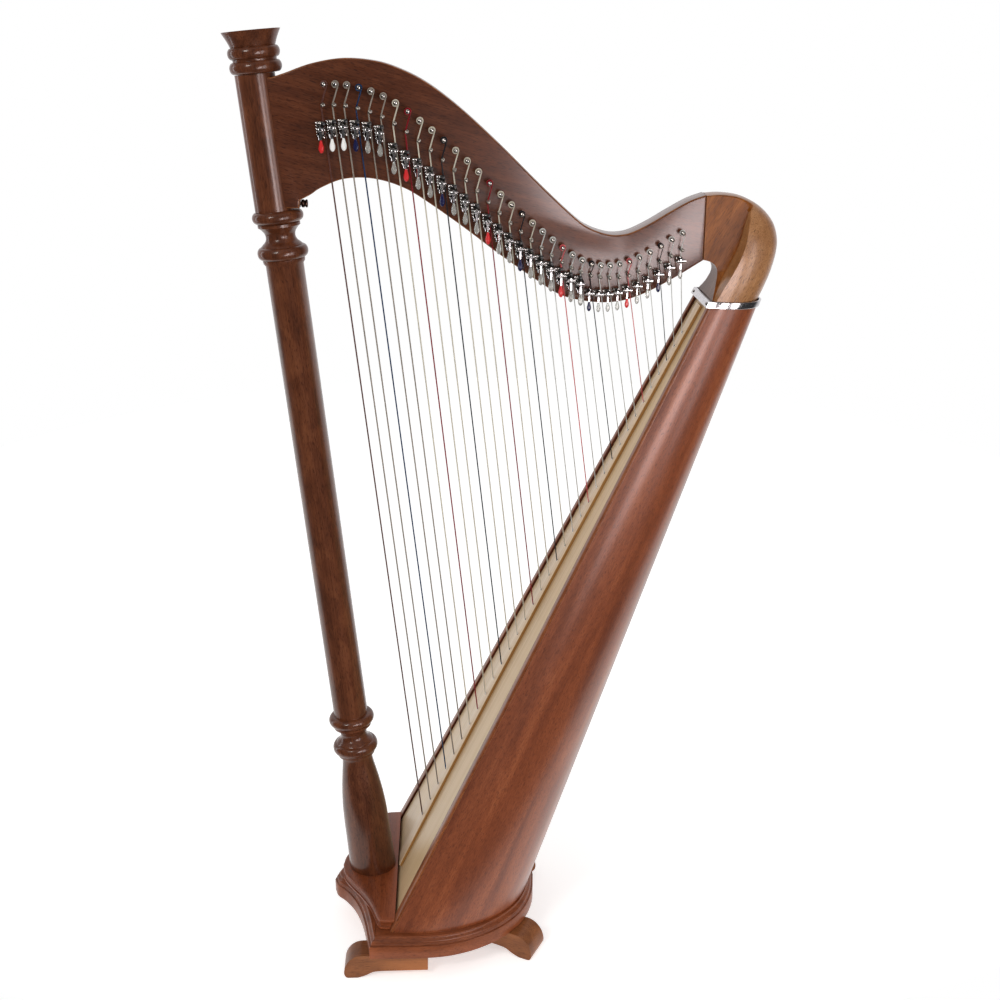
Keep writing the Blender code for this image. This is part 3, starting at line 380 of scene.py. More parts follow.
# The strips' inner walls: a darker copy of the strip wood, painted shade where each wall faces the recessed
# board.
STRIP_WALL_PAINTED_SHADE = wood("edge_strip_inner_face_painted_shade", (0.05, 0.012, 0.005), (0.085, 0.021, 0.009), (0.12, 0.032, 0.014),
                   coat=0.1, run=0.03)
BASE_WOOD = wood("base_mahogany", (0.12, 0.029, 0.009), (0.19, 0.049, 0.016), (0.27, 0.076, 0.028),
                 grain="X", coat=0.35, coat_roughness=0.22, worn_edges=0.35)
PLINTH_WOOD = wood("plinth_mahogany", (0.12, 0.028, 0.0092), (0.19, 0.0465, 0.0155), (0.265, 0.07, 0.025),
                   grain="Y", coat=0.35, coat_roughness=0.22, worn_edges=0.35)
FOOT_WOOD = wood("foot_wood", (0.13, 0.041, 0.013), (0.205, 0.069, 0.022), (0.3, 0.108, 0.036),
                 grain="X", coat=0.25, coat_roughness=0.28, worn_edges=0.4)
BOARD_WOOD = softwood("soundboard_spruce", (0.54, 0.37, 0.195), (0.66, 0.47, 0.265), (0.74, 0.555, 0.34))
RIB_WOOD = softwood("string_rib_maple", (0.58, 0.405, 0.23), (0.7, 0.51, 0.315), (0.78, 0.6, 0.395))
# The rib's side walls: a darker copy of the rib wood, painted shade on the sides of the raised rib.
RIB_SIDE_PAINTED_SHADE = softwood("string_rib_side", (0.23, 0.1, 0.022), (0.33, 0.15, 0.036), (0.42, 0.21, 0.06))
BLOCK_WOOD = softwood("block_softwood", (0.33, 0.205, 0.105), (0.43, 0.285, 0.155), (0.52, 0.365, 0.215),
                      grain="Y", coat=0.0)
CHROME = metal("chrome", (0.76, 0.77, 0.78), 0.13)
PIN_METAL = metal("nickel_pin", (0.74, 0.72, 0.68), 0.14)
WORN_METAL = metal("worn_nickel", (0.36, 0.34, 0.3), 0.3, 0.12, 0.2)
PLATE_METAL = metal("nickel_plate", (0.2, 0.19, 0.17), 0.22, 0.12, 0.2)
SCREW_METAL = metal("nickel_screw", (0.78, 0.77, 0.75), 0.12)
BLACK_METAL = metal("black_steel", (0.04, 0.036, 0.034), 0.28, 0.12, 0.3)
BOLT_METAL = metal("dark_bronze", (0.06, 0.034, 0.026), 0.2, 0.12, 0.3)
BLACK_BLOCK = plastic("black_block", (0.01, 0.01, 0.011), roughness=0.3)
# Near-black for the insides of holes: painted shade in the pins' string holes and the eyelets' bores.
HOLE_PAINTED_SHADE = plastic("bore_painted_shade", (0.02, 0.014, 0.01), roughness=0.6)
GRIPS = {
    "red": plastic("grip_red", (0.56, 0.018, 0.02)),
    "blue": plastic("grip_blue", (0.004, 0.006, 0.05)),
    "white": plastic("grip_white", (0.84, 0.835, 0.8)),
    "clear": plastic("grip_clear", (0.64, 0.65, 0.62), clear=0.7, roughness=0.08),
}
CORD_COLOURS = {
    "wire": (0.4, 0.345, 0.29), "wire_red": (0.15, 0.06, 0.048), "wire_blue": (0.012, 0.045, 0.13),
    "gut": (0.64, 0.59, 0.48), "nylon": (0.64, 0.64, 0.61), "red": (0.26, 0.004, 0.012),
    "pink": (0.68, 0.11, 0.12), "black": (0.012, 0.014, 0.018),
}
CORDS = {
    kind: cord_finish("string_" + kind, colour, wound=kind.startswith("wire"))
    for kind, colour in CORD_COLOURS.items()
}

# ------------------------------------------------------------------- geometry


def linked(name, data):
    """A new object in the scene."""
    obj = bpy.data.objects.new(name, data)
    bpy.context.scene.collection.objects.link(obj)
    return obj


class Shape:
    """One mesh gathered from closed parts, each with its own material."""

    def __init__(self):
        self.points = []
        self.faces = []
        self.slots = []
        self.materials = []

    def slot(self, material):
        if material not in self.materials:
            self.materials.append(material)
        return self.materials.index(material)

    def add(self, rings, material, columns=None, caps=None, closed=False):
        """A body through rings; columns gives some faces around it another material."""
        count = len(rings[0])
        starts = [len(self.points) + count * index for index in range(len(rings))]
        for low, high in zip(starts, starts[1:] + (starts[:1] if closed else [])):
            for side in range(count):
                step = (side + 1) % count
                self.faces.append((low + side, low + step, high + step, high + side))
                self.slots.append(self.slot((columns or {}).get(side, material)))
        bottom, top = [range(start, start + count) for start in (starts[0], starts[-1])]
        for cap in () if closed else (reversed(bottom), top):
            self.faces.append(tuple(cap))
            self.slots.append(self.slot(caps or material))
        for ring in rings:
            self.points += ring

    def make(self, name, sharp=35.0):
        mesh = bpy.data.meshes.new(name)
        mesh.from_pydata([tuple(point) for point in self.points], [], self.faces)
        for material in self.materials:
            mesh.materials.append(material)
        mesh.polygons.foreach_set("material_index", self.slots)
        body = bmesh.new()
        body.from_mesh(mesh)
        bmesh.ops.recalc_face_normals(body, faces=body.faces)
        body.to_mesh(mesh)
        body.free()
        mesh.polygons.foreach_set("use_smooth", [True] * len(mesh.polygons))
        mesh.set_sharp_from_angle(angle=math.radians(sharp))
        return linked(name, mesh)


def single(name, rings, material, sharp=35.0, **choices):
    shape = Shape()
    shape.add(rings, material, **choices)
    return shape.make(name, sharp)


def stand(origin, up):
    """A place whose Z axis points along up."""
    side = ACROSS.cross(up).normalized()
    return Matrix.Translation(origin) @ Matrix((side, up.cross(side), up)).transposed().to_4x4()


def settle(obj, origin, up):
    """Give an object an origin and a Z axis of its own, with its points left in place."""
    place = stand(origin, up)
    obj.data.transform(place.inverted())
    obj.matrix_world = place
    return obj


def cut(obj, cutter, sharp=35.0):
    """Cut an object with another by a Boolean, and keep the result as its mesh."""
    modifier = obj.modifiers.new("cut", "BOOLEAN")
    modifier.operation = "DIFFERENCE"
    modifier.object = cutter
    modifier.solver = "EXACT"
    modifier.material_mode = "TRANSFER"
    evaluated = obj.evaluated_get(bpy.context.evaluated_depsgraph_get())
    mesh = bpy.data.meshes.new_from_object(evaluated)
    obj.modifiers.clear()
    obj.data = mesh
    mesh.set_sharp_from_angle(angle=math.radians(sharp))
    bpy.data.objects.remove(cutter, do_unlink=True)


def rounded(obj, width, segments=3, angle=40.0):
    """Round an object's sharp edges with a bevel."""
    bevel = obj.modifiers.new("rounded_edges", "BEVEL")
    bevel.width = width
    bevel.segments = segments
    bevel.limit_method = "ANGLE"
    bevel.angle_limit = math.radians(angle)
    bevel.harden_normals = True
    return obj


def mount(obj, node, body="frame"):
    """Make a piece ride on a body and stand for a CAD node."""
    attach(obj, body)
    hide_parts(node)


def through(stations, position):
    """Value of the smooth curve through (place, value) stations at a position."""
    places, values = zip(*stations)
    last = len(stations) - 1
    index = 0
    while index < last - 1 and position > places[index + 1]:
        index += 1

    def slope(at):
        low = max(at - 1, 0)
        high = min(at + 1, last)
        return (values[high] - values[low]) / (places[high] - places[low])

    span = places[index + 1] - places[index]
    share = min(max((position - places[index]) / span, 0.0), 1.0)
    square = share * share
    cube = square * share
    return (
        (2 * cube - 3 * square + 1) * values[index]
        + (cube - 2 * square + share) * span * slope(index)
        + (3 * square - 2 * cube) * values[index + 1]
        + (cube - square) * span * slope(index + 1)
    )


def finer(corners, steps):
    """The smooth open curve through corners, with equal steps in each span."""
    path = []
    for coordinate in range(len(corners[0])):
        stations = [(index, corner[coordinate]) for index, corner in enumerate(corners)]
        count = (len(corners) - 1) * steps
        path.append([through(stations, index / steps) for index in range(count + 1)])
    return list(zip(*path))


def in_mm(pairs):
    return [(first * MM, second * MM) for first, second in pairs]


def circle(sides):
    """(cos, sin) at equal steps around a circle."""
    angles = [math.tau * step / sides for step in range(sides)]
    return [(math.cos(angle), math.sin(angle)) for angle in angles]


def quarter(steps, first=0):
    """(cos, sin) at equal steps through a quarter turn, with its end."""
    angles = [math.pi / 2 * step / steps for step in range(first, steps + 1)]
    return [(math.cos(angle), math.sin(angle)) for angle in angles]


def inset_outline(outline, distance):
    """A closed outline moved inward by a distance, whichever way round it runs."""
    ahead = outline[1:] + outline[:1]
    area = sum(a[0] * b[1] - b[0] * a[1] for a, b in zip(outline, ahead))
    turn = 1.0 if area > 0 else -1.0
    inner = []
    for before, here, after in zip(outline[-1:] + outline[:-1], outline, ahead):
        here = Vector(here)
        edges = [(here - Vector(before)).normalized(), (Vector(after) - here).normalized()]
        normals = [Vector((-edge.y, edge.x)) * turn for edge in edges]
        middle = (normals[0] + normals[1]).normalized()
        inner.append(tuple(here + middle * distance / max(middle.dot(normals[0]), 0.5)))
    return inner


def spun(centre, axis, profile, sides=20):
    """Rings of a round body about an axis; profile is (along, radius) from the centre."""
    side = axis.orthogonal().normalized()
    other = axis.cross(side)
    rings = []
    for along, radius in profile:
        middle = Vector(centre) + axis * along
        rings.append([middle + (side * c + other * s) * radius for c, s in circle(sides)])
    return rings


def slab(low, high, chamfer):
    """Rings of a chamfered block between two corners, stacked along Y."""
    rings = []
    stations = [(low[1], chamfer), (low[1] + chamfer, 0.0)]
    stations += [(high[1] - chamfer, 0.0), (high[1], chamfer)]
    for y, inset in stations:
        x0, x1, z0, z1 = low[0] + inset, high[0] - inset, low[2] + inset, high[2] - inset
        corners = [(x0 + chamfer, z0), (x1 - chamfer, z0), (x1, z0 + chamfer), (x1, z1 - chamfer)]
        corners += [(x1 - chamfer, z1), (x0 + chamfer, z1), (x0, z1 - chamfer), (x0, z0 + chamfer)]
        rings.append([Vector((x, y, z)) for x, z in corners])
    return rings


def moved(rings, size, origin, lean=0.0):
    """Rings in millimetres about an origin, sheared aside as they go down."""
    return [[origin + Vector((p.x - p.z * lean, p.y, p.z)) * (size * MM) for p in ring] for ring in rings]


def dome(radius, height, base, steps=6):
    """Profile of a rounded end from its base outward."""
    return [(base + height * s, max(radius * c, radius * 0.04)) for c, s in quarter(steps)]


def octagon(x, z):
    """Corners of a square of half size 1 with its corners cut off at x and z."""
    return [(-x, -1.0), (x, -1.0), (1.0, -z), (1.0, z), (x, 1.0), (-x, 1.0), (-1.0, z), (-1.0, -z)]


def stack(stations, corners):
    """Rings along Z of one outline; stations are (z, half x, half y)."""
    rings = []
    for z, half_x, half_y in stations:
        rings.append([Vector((half_x * x, half_y * y, z)) for x, y in corners])
    return rings


def tube(points, radius):
    """Rings of a round tube along a path, without twist."""
    side = (points[1] - points[0]).orthogonal().normalized()
    rings = []
    for before, point, after in zip(points[:1] + points, points, points[1:] + points[-1:]):
        direction = (after - before).normalized()
        side = (side - direction * side.dot(direction)).normalized()
        other = direction.cross(side)
        rings.append([point + (side * c + other * s) * radius for c, s in circle(STRING_SIDES)])
    return rings


# -------------------------------------------------------------- turned pieces

PILLAR_PLACE = stand(PILLAR_FOOT, PILLAR_UP)


def pillar_ring(along, radius, shift=0.0):
    """A ring about the pillar's axis, in the pillar's own axes."""
    return [Vector((radius * c + shift, radius * s, along)) for c, s in circle(PILLAR_SIDES)]


def make_turned(name, rings, node):
    """A turned piece of the pillar, on the pillar's leaning axis."""
    obj = single(name, rings, PILLAR_WOOD, 40.0)
    obj.matrix_world = PILLAR_PLACE
    mount(obj, node)


def bead(centre, radius, half_height, root):
    """Profile of a half-round bead that rises from the root radius."""
    angles = [math.pi * (step / 16 - 0.5) for step in range(17)]
    height = radius - root
    return [(centre + half_height * math.sin(a), root + height * math.cos(a)) for a in angles]


def bead_pair(top):
    """Two beads with a hollow between them; top is the middle of the upper bead."""
    hollow = [(10.0, 30.5), (13.0, 27.5), (17.0, 23.5), (22.5, 21.7), (29.0, 23.0), (35.0, 27.5)]
    profile = [(-14.5, 30.8), (-9.6, 31.4)] + bead(0.0, 37.4, 9.0, 31.0)
    profile += finer(hollow + [(38.0, 31.2)], 4) + [(42.0, 31.2)]
    profile += bead(BEADS_APART, 37.6, 8.5, 30.0)
    return [(top + (along - BEADS_APART) * MM, radius * MM) for along, radius in profile]


def make_pillar():
    vase = [(4.0, 39.7), (10.0, 39.7), (28.0, 38.9), (60.0, 38.2), (90.0, 37.8), (120.0, 36.8)]
    vase += [(146.0, 34.6), (170.0, 31.6), (190.0, 28.4), (206.0, 25.9), (216.0, 25.3), (221.0, 26.5)]
    profile = in_mm(finer(vase, 4)) + bead_pair(LOWER_BEADS)
    profile += [(LOWER_BEADS + 9.0 * MM, SHAFT_RADIUS), (UPPER_BEADS - 70.0 * MM, SHAFT_RADIUS)]
    profile += bead_pair(UPPER_BEADS)
    foot = pillar_ring(0.0, 39.7 * MM)
    for point in foot:
        rise = PLINTH_TOP + GAP - PILLAR_FOOT.z - point.x * math.sin(PILLAR_LEAN)
        point.z = rise / math.cos(PILLAR_LEAN)
    rings = [foot] + [pillar_ring(*station) for station in profile]
    for along in (UPPER_BEADS + 9.0 * MM, PILLAR_TOP):
        rings.append(pillar_ring(along, NECK_END_RADIUS, NECK_END_SHIFT))
    make_turned("pillar_column", rings, "pillar")


def make_capital():
    top = CAPITAL_TOP / MM
    profile = [((PILLAR_TOP + GAP) / MM, 27.0)] + bead(1329.0, 37.0, 8.3, 31.0)
    profile += [(1339.6, 31.0)] + bead(1348.6, 36.9, 8.0, 31.5)
    flare = [(1357.6, 32.0), (1364.0, 34.5), (1371.0, 37.9), (top - 1.5, 40.9), (top - 0.3, 41.4)]
    profile += finer(flare, 4) + [(top, 40.9), (top, 38.0), (top - 1.5, 30.0)]
    make_turned("capital_turning", [pillar_ring(*station) for station in in_mm(profile)], "capital")


def make_pillar_bolt():
    profile = [(-49.0, 3.0), (-0.5, 3.0), (0.0, 5.2), (0.8, 5.7), (3.0, 6.0), (3.8, 5.6), (4.2, 4.8)]
    profile += [(5.8, 4.8), (6.2, 5.6), (7.0, 6.0), (8.2, 5.7), (8.9, 4.6), (9.2, 2.0)]
    rings = spun((-0.3020, 0.0, BOLT_Z), ALONG, in_mm(profile), 32)
    mount(single("pillar_bolt_knob", rings, BOLT_METAL), "pillar_bolt")


# ----------------------------------------------------------------------- base


def base_outline(stretches):
    """A plan outline from its near half: smooth stretches joined at corners."""
    near = []
    for stretch in stretches:
        near += finer(stretch, 6) if len(stretch) > 2 else list(stretch)
    outline = []
    for x, y in near:
        if not outline or (Vector(outline[-1]) - Vector((x, y))).length > 1.0 * MM:
            outline.append((x, y))
    far = [(x, -y) for x, y in reversed(outline) if abs(y) > 1.0 * MM]
    return outline + far


def level(outline, z):
    return [Vector((x, y, z)) for x, y in outline]


PLATE_PLAN = [
    [(-0.302, 0.0), (-0.296, -0.018), (-0.281, -0.035), (-0.265, -0.060), (-0.252, -0.092),
     (-0.243, -0.128), (-0.237, -0.160), (-0.232, -0.188)],
    [(-0.232, -0.188), (-0.134, -0.189), (-0.082, -0.180), (-0.035, -0.158), (0.002, -0.127),
     (0.026, -0.093), (0.041, -0.050), (0.046, 0.0)],
]
PLINTH_PLAN = [
    [(-0.287, 0.0), (-0.283, -0.024), (-0.271, -0.047), (-0.253, -0.074), (-0.237, -0.103),
     (-0.227, -0.130), (-0.221, -0.150)],
    [(-0.216, -0.159), (-0.207, -0.161)],
]


def make_base_plate():
    low = FOOT_HEIGHT / MM
    steps = [(low + 0.3, 0.8), (low + 1.2, 0.0), (65.0, 0.0), (66.0, 0.5), (66.5, 2.4)]
    steps += [(68.0, 3.0), (70.2, 3.0)]
    steps += finer([(70.5, 3.4), (73.0, 4.2), (76.0, 7.4), (77.6, 8.6), (79.2, 8.9)], 4)
    steps += [(PLATE_TOP / MM, 9.8)]
    outline = base_outline(PLATE_PLAN)
    rings = [level(inset_outline(outline, inset), z) for z, inset in in_mm(steps)]
    obj = settle(single("base_plate_board", rings, BASE_WOOD), (-0.13, 0.0, 0.06), UPRIGHT)
    mount(obj, "base_plate")


def make_pillar_plinth():
    outline = base_outline(PLINTH_PLAN)
    steps = [(0.3, 0.4), (0.8, 0.0), (2.8, 0.0), (3.4, 0.6)]
    steps += finer([(3.6, 2.0), (6.0, 2.6), (10.0, 2.4), (13.0, 0.9)], 4)
    steps += finer([(13.6, 0.6), (15.4, 0.8), (17.0, 2.2), (18.0, 4.4)], 4)
    rings = []
    for height, inset in in_mm(steps):
        z = PLATE_TOP + height
        back = BOARD_FOOT.x + (z - BOARD_FOOT.z) / math.tan(BOARD_SLOPE)
        back -= (EDGE_STRIP_HEIGHT + 2.0 * GAP) / math.sin(BOARD_SLOPE)
        ring = level(inset_outline(outline, inset), z)
        near = [point for point in ring if point.y <= 0.0]
        far = [point for point in ring if point.y > 0.0]
        edge = PLINTH_HALF - inset
        rings.append(near + [Vector((back, -edge, z)), Vector((back, edge, z))] + far)
    obj = single("pillar_plinth_board", rings, PLINTH_WOOD)
    settle(obj, (-0.23, 0.0, PLATE_TOP), UPRIGHT)
    mount(obj, "pillar_plinth")


def foot_ring(length, y):
    """Side outline of a foot: round nose at the front, its heel clear of the floor."""
    top = FOOT_HEIGHT / MM
    nose = 9.0
    outline = [(length / MM, top), (length / MM, 12.0)]
    outline += finer([(62.0, 12.0), (48.0, 10.5), (36.0, 4.5), (24.0, 0.5), (22.0, 0.0)], 4)
    outline += [(7.0, 0.0), (4.0, 0.8), (2.2, 2.5), (0.6, 5.5), (0.0, nose)]
    outline += [(30.0 * (1.0 - c), nose + (top - nose) * s) for c, s in quarter(18, 1)]
    return [Vector((x, y, z)) for x, z in in_mm(outline)]


def make_foot(name, corner, heading, length, width, inner_side):
    sides = (0.0, width * inner_side)
    obj = single(name + "_shaped", [foot_ring(length, y) for y in sides], FOOT_WOOD, 30.0)
    rounded(obj, 1.3 * MM)
    obj.matrix_world = Matrix.Translation((corner[0], corner[1], 0.0)) @ Matrix.Rotation(heading, 4, "Z")
    mount(obj, name)


def make_feet():
    """Front feet lie along the base; rear feet splay outward."""
    for side, name in SIDES:
        corner = (FRONT_NOSE.x, side * FRONT_NOSE.y)
        make_foot("foot_front_" + name, corner, 0.0, FRONT_FOOT_LONG, FRONT_FOOT_WIDE, -side)
        corner = (REAR_NOSE.x, side * REAR_NOSE.y)
        heading = math.pi + side * REAR_SPLAY
        make_foot("foot_rear_" + name, corner, heading, REAR_FOOT_LONG, REAR_FOOT_WIDE, side)


# ------------------------------------------------------------------- soundbox


def half_width(along):
    return HALF_WIDTH_LOW - HALF_WIDTH_TAPER * along


def depth(along):
    return DEPTH_LOW - DEPTH_TAPER * along


def board_point(along, side, out):
    return BOARD_FOOT + BOARD_UP * along + Vector((0.0, side, 0.0)) + BOARD_OUT * out


def cut_level(point, direction, plane_z, fall=0.0, plane_x=0.0):
    """Where the line from a point along a direction meets a plane that may fall with x."""
    rise = plane_z - fall * (point.x - plane_x) - point.z
    return point + direction * (rise / (direction.z + fall * direction.x))


def round_back():
    """Half section of the box as (side, back) shares, from the front edge to the middle."""
    front = finer([(0.0, 1.0), (0.08, 1.02), (0.15, 1.034), (0.22, 1.04)], 3)[:-1]
    shares = [(side, back) for back, side in front]
    for c, s in quarter(BACK_STEPS):
        back = BACK_START + (1.0 - BACK_START) * s ** BACK_DEPTH_POWER
        shares.append((BACK_BULGE * max(c, 0.0) ** BACK_SIDE_POWER, back))
    shares[-1] = (0.0, back)
    return shares


def board_line(place):
    """A straight line of the box; place gives its side and height at a distance up the board."""
    foot, above = [board_point(along, *place(along)) for along in (0.0, 1.0)]
    return foot, above - foot


def back_line(side, back, wall):
    """A line at shares of the box's half width and depth, less its wall."""
    return board_line(lambda up: (side * (half_width(up) - wall), -back * (depth(up) - wall)))


def front_line(side, wall, back):
    """A line at the box's front edge, a fixed distance behind the board's face."""
    return board_line(lambda up: (side * (half_width(up) - wall), -back))


def box_lines(wall):
    """Lines of the near and far halves of the box's section, front to back to front."""
    near = [back_line(-side, back, wall) for side, back in round_back()]
    return near + [back_line(side, back, wall) for side, back in reversed(round_back()[:-1])]


def collar_cut(line, lift):
    return cut_level(line[0], line[1], COLLAR_POINT.z + lift, COLLAR_FALL, COLLAR_POINT.x)


def box_rings(lines, levels):
    """Rings along lines of the box, from the base plate up to the collar."""
    low = [cut_level(*line, PLATE_TOP + GAP) for line in lines]
    high = [collar_cut(line, -GAP) for line in lines]
    return [[a.lerp(b, step / levels) for a, b in zip(low, high)] for step in range(levels + 1)]


def board_piece(name, rings, material, node, sharp=35.0, columns=None):
    """A piece that lies along the soundboard."""
    obj = single(name, rings, material, sharp, columns=columns)
    mount(settle(obj, BOARD_FOOT, BOARD_UP), node)


def make_soundbox_shell():
    outer = box_lines(0.0)
    ledge = BOARD_THICK + GAP
    inner = box_lines(SHELL_WALL)
    inner[0] = front_line(-1.0, SHELL_WALL, ledge)
    inner[-1] = front_line(1.0, SHELL_WALL, ledge)
    far = [front_line(1.0, RABBET_WALL, back) for back in (0.0, ledge)]
    near = [front_line(-1.0, RABBET_WALL, back) for back in (ledge, 0.0)]
    lines = outer + far + list(reversed(inner)) + near
    inside = {column: INNER_WOOD for column in range(len(outer) - 1, len(lines))}
    obj = single("soundbox_bowl", box_rings(lines, 12), SHELL_WOOD, 25.0, columns=inside)
    cutter = Shape()
    for along, half_long, half_wide in SOUND_HOLES:
        rings = []
        for back in (depth(along) - 26.0 * MM, depth(along) + 20.0 * MM):
            places = [(along + half_long * c, half_wide * s, -back) for c, s in circle(48)]
            rings.append([board_point(*place) for place in places])
        cutter.add(rings, INNER_WOOD)
    cut(obj, cutter.make("sound_hole_cutter"), 25.0)
    mount(obj, "soundbox_shell")


def belly(along, side_share):
    """How far the strings pull the board out; its glued edges stay flat."""
    rise = 4.0 * (along / BOARD_LENGTH) * (1.0 - along / BOARD_LENGTH)
    across = min(abs(side_share) / 0.8, 1.0)
    return BOARD_BELLY * max(rise, 0.0) * (1.0 - across * across)


def string_foot(number):
    """Distance of a string's hole up the board; number 1 is the longest string."""
    step = number - 1
    return FIRST_HOLE + HOLE_SPACING * step - HOLE_CLOSING * step * step


def make_soundboard():
    shares = [2.0 * column / BOARD_COLUMNS - 1.0 for column in range(BOARD_COLUMNS + 1)]
    rings = []
    for row in range(BOARD_ROWS + 1):
        along = BOARD_START + (BOARD_LENGTH + BOARD_PAST) * row / BOARD_ROWS
        half = half_width(along) - RABBET_WALL - 0.5 * MM
        top = [board_point(along, share * half, belly(along, share)) for share in shares]
        rings.append(top + [point - BOARD_OUT * BOARD_THICK for point in reversed(top)])
    board_piece("soundboard_panel", rings, BOARD_WOOD, "soundboard")


def make_string_rib():
    start = 0.004
    end = BOARD_LENGTH - 6.0 * MM
    edge = 1.5 * MM
    rings = []
    for row in range(BOARD_ROWS + 1):
        along = start + (end - start) * row / BOARD_ROWS
        half = 20.0 * MM - 0.006 * along
        top = belly(along, 0.0) + RIB_HEIGHT
        near = [(-half, belly(along, 0.25) + 2.0 * GAP)]
        near += [(-half + edge * (1.0 - c), top - edge * (1.0 - s)) for c, s in quarter(4)]
        section = near + [(-side, out) for side, out in reversed(near)]
        rings.append([board_point(along, side, out) for side, out in section])
    # Painted shade: the rib's side walls get the darker copy of the rib wood.
    shaded_walls = {column: RIB_SIDE_PAINTED_SHADE for column in (0, 1, 9, 10)}
    board_piece("string_rib_moulding", rings, RIB_WOOD, "string_rib", 50.0, shaded_walls)


def strip_line(side, inward, out):
    """A line of an edge strip: a share of the way inward from the box's front edge."""

    def place(along):
        outer = half_width(along)
        inner = BOARD_HALF_LOW - BOARD_HALF_TAPER * along
        return side * (outer + (inner - outer) * inward), out

    return board_line(place)


def make_edge_strips():
    top = EDGE_STRIP_HEIGHT
    section = [(1.0, GAP), (1.0, top - 0.8 * MM), (0.985, top - 0.25 * MM), (0.95, top), (0.22, top)]
    section += [(0.15, top - 0.2 * MM), (0.08, top - 0.7 * MM), (0.03, top - 1.3 * MM)]
    section += [(0.0, top - 2.2 * MM), (0.0, GAP)]
    for side, name in SIDES:
        rings = box_rings([strip_line(side, inward, out) for inward, out in section], 8)
        piece = "edge_strip_%s_moulding" % name
        # Painted shade: the inner wall facing the board gets the darker copy of the strip wood.
        shaded_wall = {0: STRIP_WALL_PAINTED_SHADE}
        board_piece(piece, rings, STRIP_WOOD, "edge_strip_" + name, 50.0, shaded_wall)


def make_string_bar():
    """The bar behind the board that the strings are knotted under."""
    half = 11.0 * MM
    rings = []
    for row in range(BAR_ROWS + 1):
        along = BAR_START + (BAR_END - BAR_START) * row / BAR_ROWS
        top = belly(along, 0.25) - BOARD_THICK - 0.5 * MM
        near = [(-half, top), (-half, top - 6.5 * MM), (-half + 1.5 * MM, top - 8.0 * MM)]
        section = near + [(-side, out) for side, out in reversed(near)]
        rings.append([board_point(along, side, out) for side, out in section])
    board_piece("string_bar", rings, RIB_WOOD, "string_set")


def make_inner_blocks():
    """Give the wood inside the box, which keeps its CAD shape, its finish."""
    for name in ("tail_block", "top_block", "back_brace_lower", "back_brace_middle", "back_brace_upper"):
        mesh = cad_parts[name].data
        mesh.materials.clear()
        mesh.materials.append(BLOCK_WOOD)


# --------------------------------------------------------- collar and shoulder


def collar_ring(offset, lift):
    """Loop of the box's section, moved outward, on the collar's sloping plane."""
    lines = box_lines(-offset)
    front = EDGE_STRIP_HEIGHT + 3.5 * MM + offset - COLLAR_PROUD
    lines[0] = front_line(-1.0, -offset, -front)
    lines[-1] = front_line(1.0, -offset, -front)
    return [collar_cut(line, lift) for line in lines]


def make_collar():
    edge = 0.9 * MM
    profile = [(COLLAR_PROUD - COLLAR_WALL, 0.0)]
    profile += [(COLLAR_PROUD - edge * (1.0 - s), edge * (1.0 - c)) for c, s in quarter(4)]
    profile += [(offset, COLLAR_HEIGHT - lift) for offset, lift in reversed(profile)]
    rings = [collar_ring(offset, lift) for offset, lift in profile]
    obj = single("collar_band_plated", rings, CHROME, 30.0, closed=True)
    mount(obj, "collar_band")
    head = in_mm([(-2.0, 2.4), (0.3, 2.6)] + dome(2.6, 1.6, 0.5))
    for side, name in SIDES:
        line = front_line(side, 0.0, -(EDGE_STRIP_HEIGHT + 3.5 * MM))
        centre = collar_cut(line, COLLAR_HEIGHT / 2) - ACROSS * side * COLLAR_SCREW_INSET
        obj = single("collar_screw_%s_head" % name, spun(centre, BOARD_OUT, head, 28), SCREW_METAL, 60.0)
        mount(obj, "collar_screw_" + name)


SHOULDER_INNER = [(298.5, 1094.6), (303.0, 1104.0), (308.0, 1117.0), (310.5, 1129.0), (309.5, 1137.0),
                  (305.5, 1143.0), (300.0, 1146.5), (295.0, 1148.3), (292.0, 1149.0), (289.3, 1149.4)]
SHOULDER_OUTER = [(377.5, 1090.4), (385.5, 1109.0), (394.0, 1132.0), (400.5, 1160.0), (400.5, 1182.0),
                  (392.0, 1205.0), (372.0, 1226.0), (343.0, 1241.0), (314.0, 1245.5), (289.3, 1244.4)]
CHEEK_EDGE = [(0, 0.02), (1, 0.03), (2, 0.06), (3, 0.13), (4, 0.22), (5, 0.38), (6, 0.64),
              (6.6, 0.93), (9, 1.2)]
CHEEK_HALF = [(0, 56.0), (1, 44.0), (2, 30.0), (3, 23.5), (4, 22.4), (9, 22.4)]
TENON_SCALE = 0.84
SHOULDER_END = 9.0
SHOULDER_ROWS = 72
BODY_HALF = [(0, 58.0), (2, 58.0), (4, 56.0), (6, 52.0), (9, 50.0)]
EDGE_ROUND = [(0, 0.74), (2, 0.60), (4, 0.34), (6, 0.12), (7, 0.05), (9, 0.03)]


def shoulder_half_width(place, share):
    """Half width of the shoulder at a place along it and a share from inside to outside."""
    rounding = through(EDGE_ROUND, place)
    past = max(0.0, (share - (1.0 - rounding)) / rounding)
    flat = through(CHEEK_HALF, place) * math.sqrt(max(0.0, 1.0 - past * past))
    beyond = max(0.0, (share - 0.26) / 0.74)
    body = through(BODY_HALF, place) * 1.05 * math.sqrt(max(0.0, 1.0 - beyond * beyond))
    edge = through(CHEEK_EDGE, place)
    blend = min(max((share - edge) / 0.05, 0.0), 1.0)
    return max(flat, flat + (body - flat) * blend)


